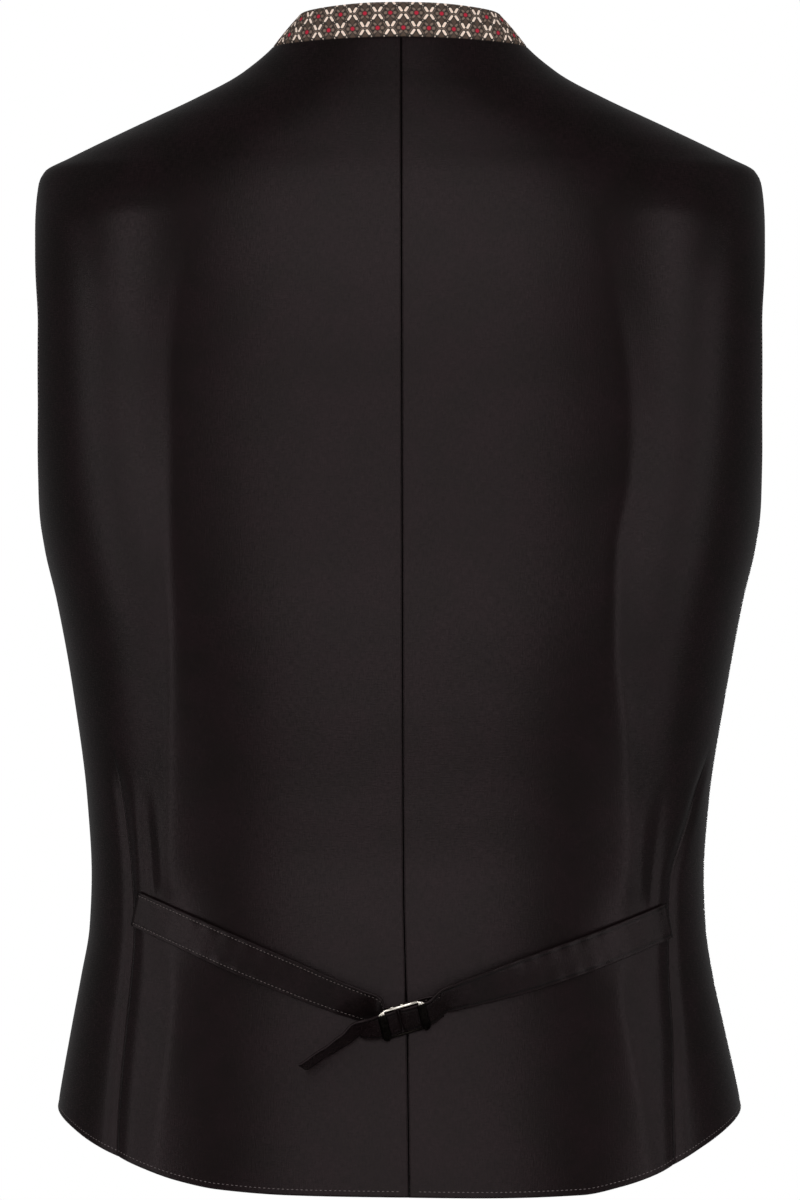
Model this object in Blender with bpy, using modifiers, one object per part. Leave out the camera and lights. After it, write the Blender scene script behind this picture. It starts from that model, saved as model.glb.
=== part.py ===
"""Men's trachten vest, filled out as it is worn: satin back with waist darts and cinch straps,
fronts and low stand collar in patterned cloth.  Its back is turned to -Y, the wearer's right is +X.
The origin lies between the shoulder seams, at their mid height, where the wearer carries it."""

from collections import namedtuple
from math import atan2, cos, pi, radians, sin

import bmesh
import bpy
import numpy as np
from mathutils import Matrix, Vector

MM = 0.001
COLLECTION = "trachten_vest"

# Walls and gaps
WALL = 2.0 * MM                 # satin back and patterned fronts, each with its lining
COLLAR_WALL = 2.5 * MM
STRAP_WALL = 1.2 * MM
SEAM_GAP = 0.3 * MM             # between two pieces sewn together

# Cut lines
NECK_BACK = 34.4 * MM           # height of the neck seam at centre back
NECK_SIDE = 31.5 * MM           # where it meets the shoulder seams
NECK_FRONT = -48.0 * MM         # at centre front
NECK_HALF_WIDTH = 67.5 * MM
NECK_BACK_BEND = 1.6            # power of the back neck seam's rise towards centre back
SHOULDER_SEAM_Y = 8.0 * MM      # the shoulder seam lies just in front of the ridge
SHOULDER_TIP = -31.4 * MM
UNDERARM = -226.0 * MM
SIDE_SEAM_Y = 14.0 * MM         # the side seam lies in front of the widest line
SIDE_HEM = -515.0 * MM          # its foot
LAP = 9.0 * MM                  # how far each front runs past centre front
COLLAR_HEIGHT = 25.0 * MM       # at centre back
COLLAR_FALL = 2.4 * MM          # how much lower it is from the shoulders forward
COLLAR_END = 1.5 * MM           # half the gap between the collar's ends
COLLAR_LEAN_BACK = 40.0         # degrees that the stand leans in, behind and at the throat
COLLAR_LEAN_FRONT = 18.0
LAP_STEP_START = -52.0 * MM     # the left front rises over the right one between these places
LAP_STEP_END = -18.0 * MM

# The shoulder corner is sharp only beside the armhole, and melts into the back and the chest
CORNER_REACH = 26.0 * MM
CORNER_NARROWNESS = 26.0

# Cinch straps, buckle and buttons
STRAP_WIDTH = 18.5 * MM
BUCKLE_LENGTH = 25.0 * MM
BUCKLE_WIDTH = 23.2 * MM
BUCKLE_RAIL = 1.6 * MM
BUCKLE_THICKNESS = 1.2 * MM
BUCKLE_CORNER = 2.4 * MM
WINDOW_CORNER = 0.8 * MM
BUTTON_COUNT = 7
BUTTON_RADIUS = 7.5 * MM
BUTTON_DOME = 3.6 * MM
BUTTON_RIM = 1.2 * MM           # height of the rim's upper edge, then of its lower one
BUTTON_RIM_FOOT = 1.0 * MM
BUTTON_UNDERCUT = 0.6 * MM
BUTTON_TOP = -82.0 * MM         # height of the top button
BUTTON_PITCH = 70.0 * MM

# Mesh density
SIDE_ROWS = 13
ARMHOLE_ROWS = 10
SHOULDER_ROWS = 6
BACK_COLUMNS = 27
FOLD_COLUMN = 11                # this column of the back follows its deep trough
DART_COLUMN = 17                # and this one its waist dart
FRONT_COLUMNS = 15
COLLAR_COLUMNS = 48
COLLAR_ROWS = 3
STRAP_STEP = 7.0 * MM

# The body that fills the vest: level rings, each half a superellipse behind and half in front
Ring = namedtuple("Ring", "height half_width back front fullness")
RINGS = [Ring(*row) for row in (
    # height, half_width, back, front, fullness
    (44.0, 52.0, 44.0, 40.0, 2.0),
    (34.4, 63.5, 52.0, 47.0, 2.0),
    (26.8, 71.2, 57.0, 51.5, 2.0),
    (16.4, 85.0, 63.5, 57.5, 2.05),
    (6.0, 106.2, 70.0, 64.0, 2.1),
    (-9.6, 140.3, 79.0, 73.0, 2.15),
    (-25.2, 172.8, 87.0, 81.5, 2.2),
    (-31.4, 184.5, 90.0, 85.0, 2.25),
    (-38.0, 187.8, 93.0, 88.0, 2.28),
    (-60.0, 190.0, 101.5, 96.5, 2.35),
    (-98.0, 191.7, 112.5, 108.0, 2.42),
    (-150.0, 191.2, 121.5, 120.0, 2.45),
    (-202.0, 188.0, 125.0, 128.5, 2.42),
    (-228.0, 184.3, 124.5, 130.5, 2.4),
    (-254.0, 178.1, 122.5, 130.5, 2.38),
    (-306.0, 168.7, 115.5, 127.5, 2.32),
    (-358.0, 161.4, 107.0, 122.5, 2.28),
    (-397.0, 159.0, 102.0, 119.5, 2.25),
    (-423.0, 160.0, 101.0, 118.5, 2.22),
    (-449.0, 164.1, 102.5, 118.5, 2.2),
    (-475.0, 169.4, 106.0, 119.5, 2.2),
    (-514.0, 177.0, 113.0, 121.5, 2.2),
    (-560.0, 183.5, 119.5, 123.5, 2.2),
)]

# Hem height by the turn from centre back; the back hem is level, then rises to the side seams
Hem = namedtuple("Hem", "turn left right")
HEM = [Hem(*row) for row in (
    # turn, left, right
    (0.0, -552.5, -552.5),
    (26.0, -551.8, -553.2),
    (41.0, -549.8, -552.6),
    (49.0, -546.4, -549.2),
    (56.0, -541.4, -544.2),
    (68.0, -530.9, -531.4),
    (77.0, -522.9, -523.2),
    (83.0, -519.1, -519.2),
    (90.0, -516.2, -516.2),
    (98.0, -515.0, -515.0),
    (125.0, -524.0, -524.0),
    (180.0, -548.0, -548.0),
)]

# Armhole edge from the side seam up to the shoulder tip
Armhole = namedtuple("Armhole", "share height back_y front_y")
ARMHOLE = [Armhole(*row) for row in (
    # share, height, back_y, front_y
    (0.00, -226.0, 14.0, 14.0),
    (0.09, -223.2, 0.0, 27.0),
    (0.20, -210.0, -18.0, 42.0),
    (0.34, -184.0, -32.0, 56.0),
    (0.50, -150.0, -39.0, 63.0),
    (0.66, -114.0, -38.0, 60.0),
    (0.82, -76.0, -25.0, 46.0),
    (0.93, -48.0, -8.0, 27.0),
    (1.00, -31.4, 8.0, 8.0),
)]

# Heights of the grid rows along the centre back and centre front edges
Row = namedtuple("Row", "share back front")
CENTRE_ROWS = [Row(*row) for row in (
    # share, back, front
    (0.0, -552.5, -548.0),
    (SIDE_ROWS / (SIDE_ROWS + ARMHOLE_ROWS + SHOULDER_ROWS), -246.0, -262.0),
    ((SIDE_ROWS + ARMHOLE_ROWS) / (SIDE_ROWS + ARMHOLE_ROWS + SHOULDER_ROWS), -54.0, -104.0),
    (1.0, 34.4, -48.0),
)]

# The centre back seam drifts to the wearer's right below the waist, and the waist itself sways a
# little to the left
Sideways = namedtuple("Sideways", "height x")
SEAM_DRIFT = [Sideways(*row) for row in (
    # height, x
    (-553.0, 4.6), (-475.0, 3.6), (-397.0, 1.8), (-254.0, 1.2), (44.0, 0.5),
)]
SWAY = [Sideways(*row) for row in (
    # height, x
    (-560.0, 0.0), (-514.0, -0.3), (-475.0, -1.1), (-449.0, -1.5), (-423.0, -1.2), (-397.0, -1.15),
    (-358.0, -0.9), (-306.0, -0.2), (-280.0, 0.0), (44.0, 0.0),
)]

# Waist darts, from the hem up to the apex: the turn of each seam from centre back
Dart = namedtuple("Dart", "height left right")
DARTS = [Dart(*row) for row in (
    # height, left, right
    (-545.0, 61.8, 60.0),
    (-508.0, 63.5, 62.2),
    (-465.0, 65.0, 66.0),
    (-424.0, 65.8, 67.8),
    (-400.0, 66.1, 68.2),
    (-364.0, 66.7, 73.0),
    (-328.0, 67.2, 77.0),
    (-200.0, 66.0, 70.0),
    (40.0, 60.0, 62.0),
)]
DART_APEX = -328.0 * MM
DART_DEPTH = 1.3 * MM
DART_HALF_WIDTH = 5.0 * MM
DART_FADE = 40.0 * MM           # length over which a dart dies out below its apex

# Large folds of the back: soft ridges (+) and troughs (-) that run down the cloth
FOLD_END = 20.0 * MM            # how far below its last row a fold still runs on
Fold = namedtuple("Fold", "depth half_width path")
FOLDS = [Fold(depth * MM, half_width * MM, path) for depth, half_width, path in (
    # depth, half_width, path rows of (height, turn, strength)
    (-5.0, 15.0, ((-90, -42, 0.0), (-150, -41, 0.5), (-240, -38, 0.9), (-330, -41, 1.0),
                  (-400, -47, 0.9), (-425, -47, 0.5), (-470, -45, 0.8), (-540, -44, 0.3))),
    (3.0, 11.0, ((-160, -48, 0.0), (-260, -49, 0.5), (-340, -53, 1.0), (-390, -56, 0.8),
                 (-415, -56, 0.0))),
    (-5.0, 15.0, ((-70, 37, 0.0), (-140, 36, 0.5), (-240, 35, 0.9), (-330, 39, 1.0),
                  (-400, 46, 0.9), (-425, 46, 0.5), (-470, 46, 0.8), (-540, 47, 0.4))),
    (3.0, 11.0, ((-180, 46, 0.0), (-280, 47, 0.5), (-350, 53, 1.0), (-395, 56, 0.8),
                 (-418, 56, 0.0))),
)]

# Cinch straps: mid-line from the dart to the buckle.  The upper edge tips outward by the tilt, and
# the stand is how far the lower edge keeps off the back.
Strap = namedtuple("Strap", "x height tilt stand")
LEFT_STRAP = [Strap(*row) for row in (
    # x, height, tilt, stand
    (-134.0, -411.0, 0.0, 0.8),
    (-108.0, -421.8, 2.0, 0.9),
    (-83.0, -432.5, 6.0, 1.2),
    (-54.0, -444.3, 17.0, 1.4),
    (-30.0, -454.0, 32.0, 1.2),
    (-12.0, -460.6, 42.0, 1.0),
)]
RIGHT_STRAP = [Strap(*row) for row in (
    # x, height, tilt, stand
    (136.0, -417.3, 0.0, 1.0),
    (96.0, -432.0, 5.0, 1.0),
    (67.5, -441.3, 14.0, 1.6),
    (38.5, -450.2, 38.0, 2.6),
    (22.0, -455.6, 51.0, 3.6),
)]
STRAP_TAIL = [Strap(*row) for row in (
    # x, height, tilt, stand
    (-20.0, -470.5, 72.0, 4.2),
    (-31.5, -479.0, 82.0, 2.6),
    (-40.5, -484.8, 86.0, 1.6),
    (-47.5, -490.0, 87.0, 1.2),
)]

# The straps' places in and beside the buckle, from its centre, before and after the turn round a bar
InBuckle = namedtuple("InBuckle", "along across layer")
STRAP_LAYER = (BUCKLE_THICKNESS + STRAP_WALL) / 2 / MM + SEAM_GAP / MM
LEFT_IN = [InBuckle(-7.5, 0.0, -STRAP_LAYER - 1.0)]
LEFT_OUT = [InBuckle(-8.5, 0.0, STRAP_LAYER), InBuckle(-13.0, -0.2, STRAP_LAYER - 0.2)]
RIGHT_IN = [InBuckle(13.2, 0.0, STRAP_LAYER), InBuckle(6.0, 0.0, STRAP_LAYER)]
RIGHT_OUT = [InBuckle(6.0, 0.0, -STRAP_LAYER), InBuckle(13.2, 0.0, -STRAP_LAYER), InBuckle(20.5, -0.3, -1.0)]

# The buckle's place on the back, and how far it is turned and tipped
BUCKLE_X = 1.6 * MM
BUCKLE_HEIGHT = -464.6 * MM
BUCKLE_TURN = radians(16.0)
BUCKLE_TILT = radians(56.0)
BUCKLE_STAND = 1.4 * MM
LEFT_BAR = -4.2 * MM            # the inner bars' places along the buckle
RIGHT_BAR = 0.8 * MM
STRAP_REACH = 1.1 * STRAP_WIDTH # no ridge stands this near the straps' mid-line

COLOURS = {
    "satin": ((0.018, 0.014, 0.015, 1.0), 0.45, 0.0),
    "patterned": ((0.12, 0.08, 0.06, 1.0), 0.8, 0.0),
    "metal": ((0.05, 0.045, 0.04, 1.0), 0.35, 1.0),
    "silver": ((0.42, 0.40, 0.37, 1.0), 0.4, 1.0),
}


class Profile:
    """A smooth curve through a table's rows that never overshoots them (monotone cubic)."""

    def __init__(self, places, values):
        order = np.argsort(places)
        self.places = np.asarray(places, float)[order]
        self.values = np.asarray(values, float)[order]
        steps = np.diff(self.places)
        slopes = np.diff(self.values) / steps
        inner = np.zeros(len(slopes) - 1)
        before, after = slopes[:-1], slopes[1:]
        same_way = before * after > 0
        inner[same_way] = 2 * before[same_way] * after[same_way] / (before + after)[same_way]
        self.slopes = np.concatenate(([slopes[0]], inner, [slopes[-1]]))

    def __call__(self, place):
        place = np.clip(place, self.places[0], self.places[-1])
        i = np.clip(np.searchsorted(self.places, place, side="right") - 1, 0, len(self.places) - 2)
        step = self.places[i + 1] - self.places[i]
        t = (place - self.places[i]) / step
        return ((2 * t**3 - 3 * t**2 + 1) * self.values[i] + (t**3 - 2 * t**2 + t) * step * self.slopes[i]
                + (3 * t**2 - 2 * t**3) * self.values[i + 1] + (t**3 - t**2) * step * self.slopes[i + 1])


def profile(table, place, value, scale=MM, place_scale=MM):
    """The profile of one named column of a table against another."""
    return Profile([getattr(row, place) * place_scale for row in table],
                   [getattr(row, value) * scale for row in table])


HALF_WIDTH, BACK, FRONT = (profile(RINGS, "height", name) for name in ("half_width", "back", "front"))
FULLNESS = profile(RINGS, "height", "fullness", 1.0)
DRIFT, SWAY_AT = (profile(table, "height", "x") for table in (SEAM_DRIFT, SWAY))


def smoothstep(low, high, value):
    t = np.clip((value - low) / (high - low), 0.0, 1.0)
    return t * t * (3 - 2 * t)


def ring_point(turn, height):
    """Point of the smooth body at a turn from centre back, in degrees, + to the wearer's right."""
    angle = np.radians(turn)
    across, along = np.sin(angle), np.cos(angle)
    fullness = FULLNESS(height)
    depth = np.where(along > 0, BACK(height), FRONT(height))
    softened = sum(HALF_WIDTH(height + step * CORNER_REACH) for step in (-1, -0.5, 0, 0.5, 1)) / 5
    at_side = np.abs(across)**CORNER_NARROWNESS
    half_width = HALF_WIDTH(height) * at_side + softened * (1 - at_side)
    radius = ((np.abs(across) / half_width)**fullness
              + (np.abs(along) / depth)**fullness)**(-1.0 / fullness)
    return np.stack([radius * across + SWAY_AT(height), -radius * along, height + 0.0 * turn], axis=-1)


def ring_normal(turn, height):
    """Outward unit normal of the smooth body."""
    step_turn, step_height = 0.05, 0.5 * MM
    along = ring_point(turn + step_turn, height) - ring_point(turn - step_turn, height)
    up = ring_point(turn, height + step_height) - ring_point(turn, height - step_height)
    normal = np.cross(along, up)
    return normal / np.linalg.norm(normal, axis=-1, keepdims=True)


def turn_at_y(height, y):
    """Turn of the point beside the body, on the wearer's right, that lies at depth y."""
    fullness = FULLNESS(height)
    depth = np.where(y < 0, BACK(height), FRONT(height))
    x = HALF_WIDTH(height) * (1 - (np.abs(y) / depth)**fullness)**(1 / fullness)
    return np.degrees(np.arctan2(x, -y))


def turn_at_x(height, x, behind=True):
    """Turn of the point of the back, or of the front, that lies at x."""
    fullness = FULLNESS(height)
    depth = BACK(height) if behind else FRONT(height)
    x = x - SWAY_AT(height)
    y = depth * np.maximum(1 - (np.abs(x) / HALF_WIDTH(height))**fullness, 0)**(1 / fullness)
    return np.degrees(np.arctan2(x, y if behind else -y))


def strap_line(turn, height):
    """Height of the cinch straps' mid-line at this place of the back."""
    return profile(LEFT_STRAP + RIGHT_STRAP, "x", "height")(ring_point(turn, height)[..., 0])


def fold_push(turn, height):
    """How far the back's folds and darts push the cloth out (+) or in (-)."""
    radius = np.linalg.norm(ring_point(turn, height)[..., :2], axis=-1)
    push = np.zeros(np.shape(radius))
    for fold in FOLDS:
        heights = [row[0] * MM for row in fold.path]
        centre = Profile(heights, [row[1] for row in fold.path])(height)
        strength = Profile(heights, [row[2] for row in fold.path])(height)
        strength = np.where((height < max(heights)) & (height > min(heights) - FOLD_END), strength, 0)
        distance = np.radians(turn - centre) * radius / fold.half_width
        push = push + fold.depth * strength * np.exp(-distance**2)
    for side, name in ((-1, "left"), (1, "right")):
        centre = side * profile(DARTS, "height", name, 1.0)(height)
        distance = np.radians(turn - centre) * radius / DART_HALF_WIDTH
        strength = 1 - smoothstep(DART_APEX - DART_FADE, DART_APEX, height)
        push = push - DART_DEPTH * strength * np.exp(-distance**2)
    under_strap = np.exp(-((height - strap_line(turn, height)) / STRAP_REACH)**2)
    return np.where(push > 0, push * (1 - under_strap), push)


def back_point(turn, height):
    return ring_point(turn, height) + ring_normal(turn, height) * fold_push(turn, height)[..., None]


def coons(bottom, top, inner, outer, across, up):
    """Turn and height inside four edge curves, each a function of its share of the way."""
    low_in, low_out = inner(0.0), outer(0.0)
    high_in, high_out = inner(1.0), outer(1.0)
    plain = (1 - across) * inner(up) + across * outer(up) + (1 - up) * bottom(across) + up * top(across)
    corners = ((1 - up) * ((1 - across) * low_in + across * low_out)
               + up * ((1 - across) * high_in + across * high_out))
    return plain - corners


def outer_edge(column, seam_side):
    """Side seam, armhole and shoulder seam of a panel, from the hem to the neck."""
    rows = SIDE_ROWS + ARMHOLE_ROWS + SHOULDER_ROWS
    underarm_share, tip_share = SIDE_ROWS / rows, (SIDE_ROWS + ARMHOLE_ROWS) / rows
    armhole_height = profile(ARMHOLE, "share", "height", place_scale=1.0)
    armhole_y = profile(ARMHOLE, "share", column, place_scale=1.0)
    inset = seam_side * SEAM_GAP / 2

    def edge(share):
        if share <= underarm_share:
            way = share / underarm_share
            height = SIDE_HEM + (UNDERARM - SIDE_HEM) * way
            y = SIDE_SEAM_Y
        elif share <= tip_share:
            way = (share - underarm_share) / (tip_share - underarm_share)
            height = float(armhole_height(way))
            y = float(armhole_y(way))
        else:
            way = (share - tip_share) / (1 - tip_share)
            height = SHOULDER_TIP + (NECK_SIDE - SHOULDER_TIP) * way
            y = SHOULDER_SEAM_Y
        return np.array([float(turn_at_y(height, y + inset)), height])

    return edge


def back_grid(side):
    """Turns and heights of a half back's grid; side is -1 for the wearer's left, 1 for the right."""
    rows = SIDE_ROWS + ARMHOLE_ROWS + SHOULDER_ROWS
    centre_height = profile(CENTRE_ROWS, "share", "back", place_scale=1.0)
    hem = profile(HEM, "turn", "left" if side < 0 else "right", place_scale=1.0)
    dart = profile(DARTS, "height", "left" if side < 0 else "right", 1.0)
    trough = FOLDS[0 if side < 0 else 2]
    trough_line = Profile([row[0] * MM for row in trough.path], [abs(row[1]) for row in trough.path])
    outer = outer_edge("back_y", -1)

    def inner(share):
        height = float(centre_height(share))
        x = float(DRIFT(height)) + side * SEAM_GAP / 2
        return np.array([side * float(turn_at_x(height, x)), height])

    def bottom(share):
        turn = (1 - share) * inner(0.0)[0] + share * outer(0.0)[0]
        return np.array([turn, float(hem(turn))])

    def top(share):
        turn = (1 - share) * inner(1.0)[0] + share * outer(1.0)[0]
        return np.array([turn, NECK_BACK + (NECK_SIDE - NECK_BACK) * share**NECK_BACK_BEND])

    grid = np.zeros((rows + 1, BACK_COLUMNS + 1, 2))
    for row in range(rows + 1):
        up = row / rows
        followed = [0.0]
        for line in (trough_line, dart):
            share = 0.5
            for _ in range(3):
                share = float(line(coons(bottom, top, inner, outer, share, up)[1])) / outer(up)[0]
            followed.append(share)
        shares = np.interp(range(BACK_COLUMNS + 1), (0, FOLD_COLUMN, DART_COLUMN, BACK_COLUMNS),
                           followed + [1.0])
        for column, share in enumerate(shares):
            grid[row, column] = coons(bottom, top, inner, outer, share, up)
    grid[..., 0] *= side
    return grid if side > 0 else grid[:, ::-1]


def front_grid(side):
    """Turns and heights of a front's grid, past centre front by the lap."""
    rows = SIDE_ROWS + ARMHOLE_ROWS + SHOULDER_ROWS
    centre_height = profile(CENTRE_ROWS, "share", "front", place_scale=1.0)
    hem = profile(HEM, "turn", "left", place_scale=1.0)
    neck_height = neckline_profile()
    outer = outer_edge("front_y", 1)

    def inner(share):
        height = float(centre_height(share))
        turn = float(turn_at_x(height, LAP, behind=False))
        return np.array([360 - turn, height])

    def bottom(share):
        turn = (1 - share) * inner(0.0)[0] + share * outer(0.0)[0]
        return np.array([turn, float(hem(min(turn, 360 - turn)))])

    def top(share):
        turn = (1 - share) * inner(1.0)[0] + share * outer(1.0)[0]
        return np.array([turn, float(neck_height(min(turn, 360 - turn)))])

    grid = np.zeros((rows + 1, FRONT_COLUMNS + 1, 2))
    for row in range(rows + 1):
        for column in range(FRONT_COLUMNS + 1):
            grid[row, column] = coons(bottom, top, inner, outer, column / FRONT_COLUMNS, row / rows)
    grid[..., 0] *= side
    return grid if side < 0 else grid[:, ::-1]


def neckline_profile():
    """Height of the front neckline by turn: a quarter of an ellipse, seen from the front."""
    turns, heights = [], []
    for step in range(25):
        angle = radians(90.0 * step / 24)
        height = NECK_SIDE - (NECK_SIDE - NECK_FRONT) * sin(angle)
        turns.append(float(turn_at_x(height, NECK_HALF_WIDTH * cos(angle), behind=False)))
        heights.append(height)
    turns[0] = float(turn_at_y(NECK_SIDE, SHOULDER_SEAM_Y))
    return Profile(turns, heights)


def back_frame(x, height, tilt, slope):
    """Point of the back, its normal, and a strap's along, across and facing directions there."""
    turn = turn_at_x(height, x)
    foot, normal = Vector(ring_point(turn, height)), Vector(ring_normal(turn, height))
    level = Vector((0, 0, 1)).cross(normal).normalized()
    rise = normal.cross(level)
    along = level * cos(slope) + rise * sin(slope)
    upright = rise * cos(slope) - level * sin(slope)
    across = upright * cos(tilt) + normal * sin(tilt)
    return foot, normal, along, across, along.cross(across)


def buckle_frame():
    """The buckle's centre and its along, across and facing directions."""
    foot, normal, along, across, facing = back_frame(BUCKLE_X, BUCKLE_HEIGHT, BUCKLE_TILT, BUCKLE_TURN)
    centre = foot + normal * (BUCKLE_STAND + BUCKLE_WIDTH / 2 * sin(BUCKLE_TILT))
    return centre, along, across, facing


def strap_stations(table):
    """Centres and across directions along a strap's table, in the order of its rows."""
    height_at = profile(table, "x", "height")
    tilt_at = profile(table, "x", "tilt", radians(1.0))
    stand_at = profile(table, "x", "stand")
    length = (table[-1].x - table[0].x) * MM
    pieces = max(1, round(abs(length) / STRAP_STEP))
    stations = []
    for i in range(pieces + 1):
        x = table[0].x * MM + length * i / pieces
        slope = float(height_at(x + MM) - height_at(x - MM)) / (2 * MM)
        tilt = float(tilt_at(x))
        foot, normal, _, across, _ = back_frame(x, float(height_at(x)), tilt, atan2(slope, 1.0))
        stand = float(stand_at(x)) + STRAP_WALL / 2 + STRAP_WIDTH / 2 * sin(tilt)
        stations.append((foot + normal * stand, across))
    return stations


def buckle_stations(places):
    """Stations of a strap inside the buckle, from (along, across, layer) places in millimetres."""
    centre, along, across, facing = buckle_frame()
    return [(centre + (along * place.along + across * place.across + facing * place.layer) * MM, across)
            for place in places]


def round_bar(bar, way):
    """Half turn of a strap round a bar: way is +1 to leave the bar on its right, -1 on its left."""
    centre = (bar + way * SEAM_GAP) / MM
    return [InBuckle(centre + way * STRAP_LAYER * cos(angle), 0.0, STRAP_LAYER * sin(angle))
            for angle in (radians(a) for a in (-90, -45, 0, 45, 90))]


def new_material(name):
    colour, roughness, metallic = COLOURS[name]
    material = bpy.data.materials.new(name)
    material.use_nodes = True
    shader = material.node_tree.nodes["Principled BSDF"]
    shader.inputs["Base Color"].default_value = colour
    shader.inputs["Roughness"].default_value = roughness
    shader.inputs["Metallic"].default_value = metallic
    material.diffuse_color = colour
    return material


def new_object(name, mesh, material, collection):
    mesh.materials.append(material)
    made = bpy.data.objects.new(name, mesh)
    collection.objects.link(made)
    mesh.shade_smooth()
    mesh.set_sharp_from_angle(angle=radians(40))
    return made


def wall(name, outside, inside, material, collection):
    """Closed cloth wall between two grids of points that share their rows and columns."""
    rows, columns = outside.shape[:2]
    bm = bmesh.new()
    outer = [[bm.verts.new(outside[r, c]) for c in range(columns)] for r in range(rows)]
    inner = [[bm.verts.new(inside[r, c]) for c in range(columns)] for r in range(rows)]
    for r in range(rows - 1):
        for c in range(columns - 1):
            bm.faces.new((outer[r][c], outer[r][c + 1], outer[r + 1][c + 1], outer[r + 1][c]))
            bm.faces.new((inner[r][c], inner[r + 1][c], inner[r + 1][c + 1], inner[r][c + 1]))
    rim = ([(0, c) for c in range(columns)] + [(r, columns - 1) for r in range(1, rows)]
           + [(rows - 1, c) for c in range(columns - 2, -1, -1)] + [(r, 0) for r in range(rows - 2, 0, -1)])
    for (r0, c0), (r1, c1) in zip(rim, rim[1:] + rim[:1]):
        bm.faces.new((outer[r0][c0], inner[r0][c0], inner[r1][c1], outer[r1][c1]))
    bmesh.ops.recalc_face_normals(bm, faces=bm.faces)
    mesh = bpy.data.meshes.new(name)
    bm.to_mesh(mesh)
    bm.free()
    return new_object(name, mesh, material, collection)


def half_back(side, material, collection):
    grid = back_grid(side)
    turn, height = grid[..., 0], grid[..., 1]
    outside = back_point(turn, height)
    inside = outside - WALL * ring_normal(turn, height)
    return wall("back_left" if side < 0 else "back_right", outside, inside, material, collection)


def front(side, material, collection):
    """The wearer's left front laps over the right one, and steps out to clear it."""
    grid = front_grid(side)
    turn, height = grid[..., 0], grid[..., 1]
    normal = ring_normal(turn, height)
    step = WALL + SEAM_GAP
    if side < 0:
        x = ring_point(turn, height)[..., 0]
        push = step * smoothstep(LAP_STEP_START, LAP_STEP_END, x)
    else:
        push = 0.0 * turn
    outside = ring_point(turn, height) + normal * push[..., None]
    return wall("front_left" if side < 0 else "front_right", outside, outside - WALL * normal,
                material, collection)


def collar_base():
    """Neck seam all round, from one collar end at centre front to the other, by turn and height."""
    half = COLLAR_COLUMNS // 2
    back_count = half // 2 - 2
    back_turn = float(turn_at_y(NECK_SIDE, SHOULDER_SEAM_Y))
    places = []
    for i in range(back_count):
        share = i / back_count
        places.append((back_turn * share, NECK_BACK + (NECK_SIDE - NECK_BACK) * share**NECK_BACK_BEND))
    neck_height = neckline_profile()
    end_turn = float(turn_at_x(NECK_FRONT, COLLAR_END, behind=False))
    for i in range(half - back_count + 1):
        turn = back_turn + (end_turn - back_turn) * i / (half - back_count)
        places.append((turn, float(neck_height(turn))))
    right = np.array(places)
    left = right[:0:-1] * np.array([-1.0, 1.0])
    return np.concatenate([left, right])


def collar(material, collection):
    """Low stand that leans in towards the neck; its foot keeps the slope of the panels below."""
    base = collar_base()
    turn, height = base[:, 0], base[:, 1]
    foot = ring_point(turn, height)
    foot_normal = ring_normal(turn, height)
    tangent = np.gradient(foot, axis=0)
    tangent /= np.linalg.norm(tangent, axis=1, keepdims=True)
    to_throat = smoothstep(100, 165, np.abs(turn))
    lean = np.radians(COLLAR_LEAN_BACK + (COLLAR_LEAN_FRONT - COLLAR_LEAN_BACK) * to_throat)[:, None]
    inward = -foot * np.array([1.0, 1.0, 0.0])
    inward /= np.linalg.norm(inward, axis=1, keepdims=True)
    rise = np.array([0.0, 0.0, 1.0]) * np.cos(lean) + inward * np.sin(lean)
    rise -= tangent * np.sum(rise * tangent, axis=1, keepdims=True)
    rise /= np.linalg.norm(rise, axis=1, keepdims=True)
    outward = np.cross(tangent, rise)
    collar_height = (COLLAR_HEIGHT - COLLAR_FALL * smoothstep(15, 75, np.abs(turn)))[:, None]
    outside, inside = [], []
    for row in range(COLLAR_ROWS + 1):
        share = row / COLLAR_ROWS
        line = foot + rise * (SEAM_GAP + collar_height * share)
        facing = foot_normal * (1 - min(3 * share, 1)) + outward * min(3 * share, 1)
        facing /= np.linalg.norm(facing, axis=1, keepdims=True)
        outside.append(line)
        inside.append(line - COLLAR_WALL * facing)
    return wall("collar", np.array(outside), np.array(inside), material, collection)


def ribbon(name, stations, material, collection):
    """Flat strap through its stations, with closely spaced rows wherever the stations are."""
    centres = np.array([tuple(centre) for centre, _ in stations])
    acrosses = np.array([tuple(across) for _, across in stations])
    places = np.concatenate(([0.0], np.cumsum(np.linalg.norm(np.diff(centres, axis=0), axis=1))))
    samples = [places[0]]
    for start, end in zip(places, places[1:]):
        pieces = max(1, round((end - start) / STRAP_STEP))
        samples.extend(start + (end - start) * (i + 1) / pieces for i in range(pieces))
    line = np.stack([Profile(places, centres[:, k])(np.array(samples)) for k in range(3)], axis=1)
    across = np.stack([Profile(places, acrosses[:, k])(np.array(samples)) for k in range(3)], axis=1)
    along = np.gradient(line, axis=0)
    across -= along * (np.sum(across * along, axis=1) / np.sum(along * along, axis=1))[:, None]
    across /= np.linalg.norm(across, axis=1, keepdims=True)
    facing = np.cross(along, across)
    facing /= np.linalg.norm(facing, axis=1, keepdims=True)
    edges = (-STRAP_WIDTH / 2, 0, STRAP_WIDTH / 2)
    outside = [line + across * edge + facing * STRAP_WALL / 2 for edge in edges]
    inside = [line + across * edge - facing * STRAP_WALL / 2 for edge in edges]
    return wall(name, np.array(outside), np.array(inside), material, collection)


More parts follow.
